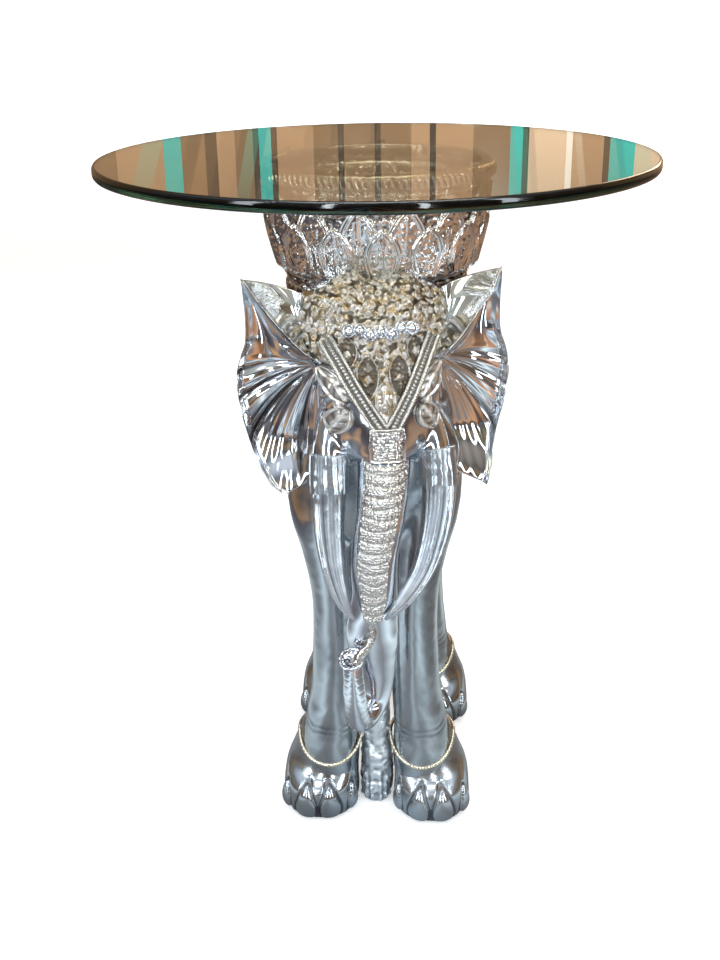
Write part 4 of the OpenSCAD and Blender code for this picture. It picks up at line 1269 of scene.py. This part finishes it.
def build_floor():
    """Floor patches near and far, and the stripes of the wall, as the silver and the glass mirror them."""
    mat, tree, skin = new_material("pale_floor")
    seen = ramp(tree, noise(tree, 2.0), [(0.3, (0.93, 0.93, 0.93)), (0.7, (0.9486, 0.9486, 0.9486))])
    place = node(tree, "ShaderNodeTexCoord").outputs["Object"]
    split = node(tree, "ShaderNodeSeparateXYZ", {0: place})
    across = stretched(tree, split.outputs["X"], -3.0, 3.0)
    ahead = stretched(tree, split.outputs["Y"], -0.75, -1.0)
    wall = stretched(tree, split.outputs["Z"], 0.02, 0.3)
    ground = ramp(tree, across, [
        (0.0, (0.10, 0.08, 0.07)), (0.30, (0.06, 0.06, 0.08)), (0.365, (0.50, 0.28, 0.13)), (0.395, (0.08, 0.08, 0.10)),
        (0.43, (0.18, 0.19, 0.21)), (0.455, (0.80, 0.93, 1.0)), (0.475, (0.25, 0.26, 0.27)),
        (0.492, (0.19, 0.20, 0.21)), (0.502, (0.46, 0.53, 0.58)), (0.515, (0.20, 0.21, 0.22)),
        (0.538, (0.78, 0.93, 1.0)), (0.556, (0.21, 0.22, 0.23)), (0.60, (0.14, 0.12, 0.12)), (0.66, (0.36, 0.22, 0.13)),
        (0.80, (0.28, 0.17, 0.11)), (1.0, (0.12, 0.09, 0.08))])
    far = ramp(tree, across, [
        (0.0, (0.10, 0.08, 0.07)), (0.36, (0.03, 0.03, 0.05)), (0.40, (0.55, 0.30, 0.12)), (0.42, (0.04, 0.04, 0.06)),
        (0.44, (0.75, 0.88, 1.0)), (0.462, (0.16, 0.17, 0.21)), (0.48, (0.66, 0.78, 0.86)), (0.497, (0.06, 0.06, 0.08)),
        (0.508, (0.70, 0.80, 0.85)), (0.514, (0.34, 0.15, 0.07)), (0.56, (0.55, 0.26, 0.11)),
        (0.575, (0.95, 0.90, 0.80)), (0.585, (0.40, 0.18, 0.08)), (0.70, (0.48, 0.24, 0.11)),
        (1.0, (0.12, 0.09, 0.08))])
    tan, brown, dark, beige = (0.40, 0.25, 0.14), (0.24, 0.15, 0.08), (0.07, 0.05, 0.035), (0.66, 0.48, 0.32)
    teal, pale = (0.06, 0.44, 0.38), (0.85, 0.78, 0.68)
    stripes = ramp(tree, across, [
        (0.0, brown), (0.295, tan), (0.328, teal), (0.339, brown), (0.355, dark), (0.362, tan), (0.375, brown),
        (0.386, dark), (0.389, teal), (0.396, dark), (0.399, tan), (0.425, brown), (0.441, dark), (0.445, brown),
        (0.462, dark), (0.465, brown), (0.485, tan), (0.500, dark), (0.502, tan), (0.524, teal), (0.527, brown),
        (0.547, teal), (0.557, dark), (0.559, beige), (0.583, pale), (0.589, tan), (0.607, dark), (0.610, teal),
        (0.626, beige), (0.649, tan)])
    stripes.node.color_ramp.interpolation = "CONSTANT"
    mirrored = blend(tree, blend(tree, ground, far, ahead), stripes, wall)
    path = node(tree, "ShaderNodeLightPath")
    seen_glow = node(tree, "ShaderNodeMath", {0: wall, 1: 0.8, 2: 0.42}, operation="MULTIPLY_ADD")
    glow = node(tree, "ShaderNodeMix", {
        "Factor": path.outputs["Is Camera Ray"], "A": wall, "B": seen_glow.outputs["Value"]})
    feed(tree, skin, {
        "Base Color": seen_and_lit(tree, seen, mirrored), "Roughness": 0.8,
        "Emission Color": seen_and_lit(tree, WHITE, stripes), "Emission Strength": glow.outputs["Result"]})
    return mat


floor_paint = build_floor()
sweep_x = 20.0
sweep_verts, sweep_faces = [], []
for i, (y, z) in enumerate([(-20.0, 0), (2.4, 0), (3.0, 0.06), (3.4, 0.3), (3.6, 0.7), (3.6, 9.0)]):
    sweep_verts += [(-sweep_x, y, z), (sweep_x, y, z)]
    if i:
        sweep_faces.append((2 * i - 2, 2 * i - 1, 2 * i + 1, 2 * i))
floor = bpy.data.objects.new("pale_floor", bpy.data.meshes.new("pale_floor"))
floor.data.from_pydata(sweep_verts, [], sweep_faces)
floor.data.materials.append(floor_paint)
for face in floor.data.polygons:
    face.use_smooth = True
bpy.context.scene.collection.objects.link(floor)


def panel(name, where, size, power, tint):
    light = bpy.data.lights.new(name, "AREA")
    light.shape = "RECTANGLE"
    light.size, light.size_y = size
    light.energy = power
    light.color = tint
    obj = bpy.data.objects.new(name, light)
    obj.location = where
    obj.rotation_mode = "QUATERNION"
    obj.rotation_quaternion = (Vector((0, 0, 0.35)) - Vector(where)).to_track_quat("-Z", "Y")
    bpy.context.scene.collection.objects.link(obj)
    return obj


panel("key_left", (-1.5, -1.5, 1.3), (0.32, 1.8), 17, (0.86, 0.94, 1.0))
panel("fill_right", (1.5, -1.2, 1.1), (0.24, 1.6), 12, (0.86, 0.94, 1.0))
panel("top", (0.1, -0.3, 2.6), (1.8, 1.3), 36, (1.0, 0.98, 0.95))
panel("front_strip_left", (-0.42, -1.75, 1.0), (0.10, 1.3), 7, (0.88, 0.96, 1.0))
panel("front_strip_right", (0.62, -1.7, 0.9), (0.10, 1.3), 7, (0.88, 0.96, 1.0))
panel("back_warm", (1.0, 1.7, 1.3), (0.5, 0.9), 9, (1.0, 0.80, 0.55))

world = bpy.data.worlds.new("soft_room")
bpy.context.scene.world = world
world.use_nodes = True
sky = world.node_tree
sky.nodes.clear()
room_place = node(sky, "ShaderNodeTexCoord").outputs["Generated"]
room_split = node(sky, "ShaderNodeSeparateXYZ", {0: room_place})
room_up = ramp(sky, room_split.outputs["Z"], [
    (0.0, (0.20, 0.20, 0.22)), (0.08, (0.10, 0.08, 0.06)), (0.25, (0.34, 0.25, 0.16)), (0.45, (0.16, 0.17, 0.18)),
    (0.7, (0.62, 0.64, 0.68)), (1.0, (0.80, 0.82, 0.86))])
room_across = ramp(sky, room_split.outputs["X"], [
    (0.0, (0.85, 0.92, 1.0)), (0.12, (0.25, 0.26, 0.28)), (0.3, (0.9, 0.72, 0.5)), (0.42, (0.3, 0.28, 0.26)),
    (0.6, (0.8, 0.9, 1.0)), (0.72, (0.35, 0.25, 0.16)), (1.0, (0.75, 0.6, 0.45))])
room_tone = blend(sky, room_up, room_across, 0.75, blend_type="MULTIPLY")
room_light = node(sky, "ShaderNodeBackground", {"Color": seen_and_lit(sky, WHITE, room_tone), "Strength": 1.3})
node(sky, "ShaderNodeOutputWorld", {"Surface": room_light.outputs[0]})

camera_data = bpy.data.cameras.new("camera")
camera_data.lens = 44.75
camera_data.sensor_width = 36
camera_data.clip_start = 0.05
camera = bpy.data.objects.new("camera", camera_data)
bpy.context.scene.collection.objects.link(camera)
camera.location = (0.0627, -1.0945, 0.7762)
camera.rotation_mode = "QUATERNION"
turn_to, tip_down, tilt = math.radians(4.26), math.radians(90 - 22.78), math.radians(-0.9)
camera.rotation_quaternion = (Quaternion(Z_AXIS, turn_to) @ Quaternion(X_AXIS, tip_down) @ Quaternion(Z_AXIS, tilt))
bpy.context.scene.camera = camera
bpy.context.scene.view_settings.view_transform = "Standard"
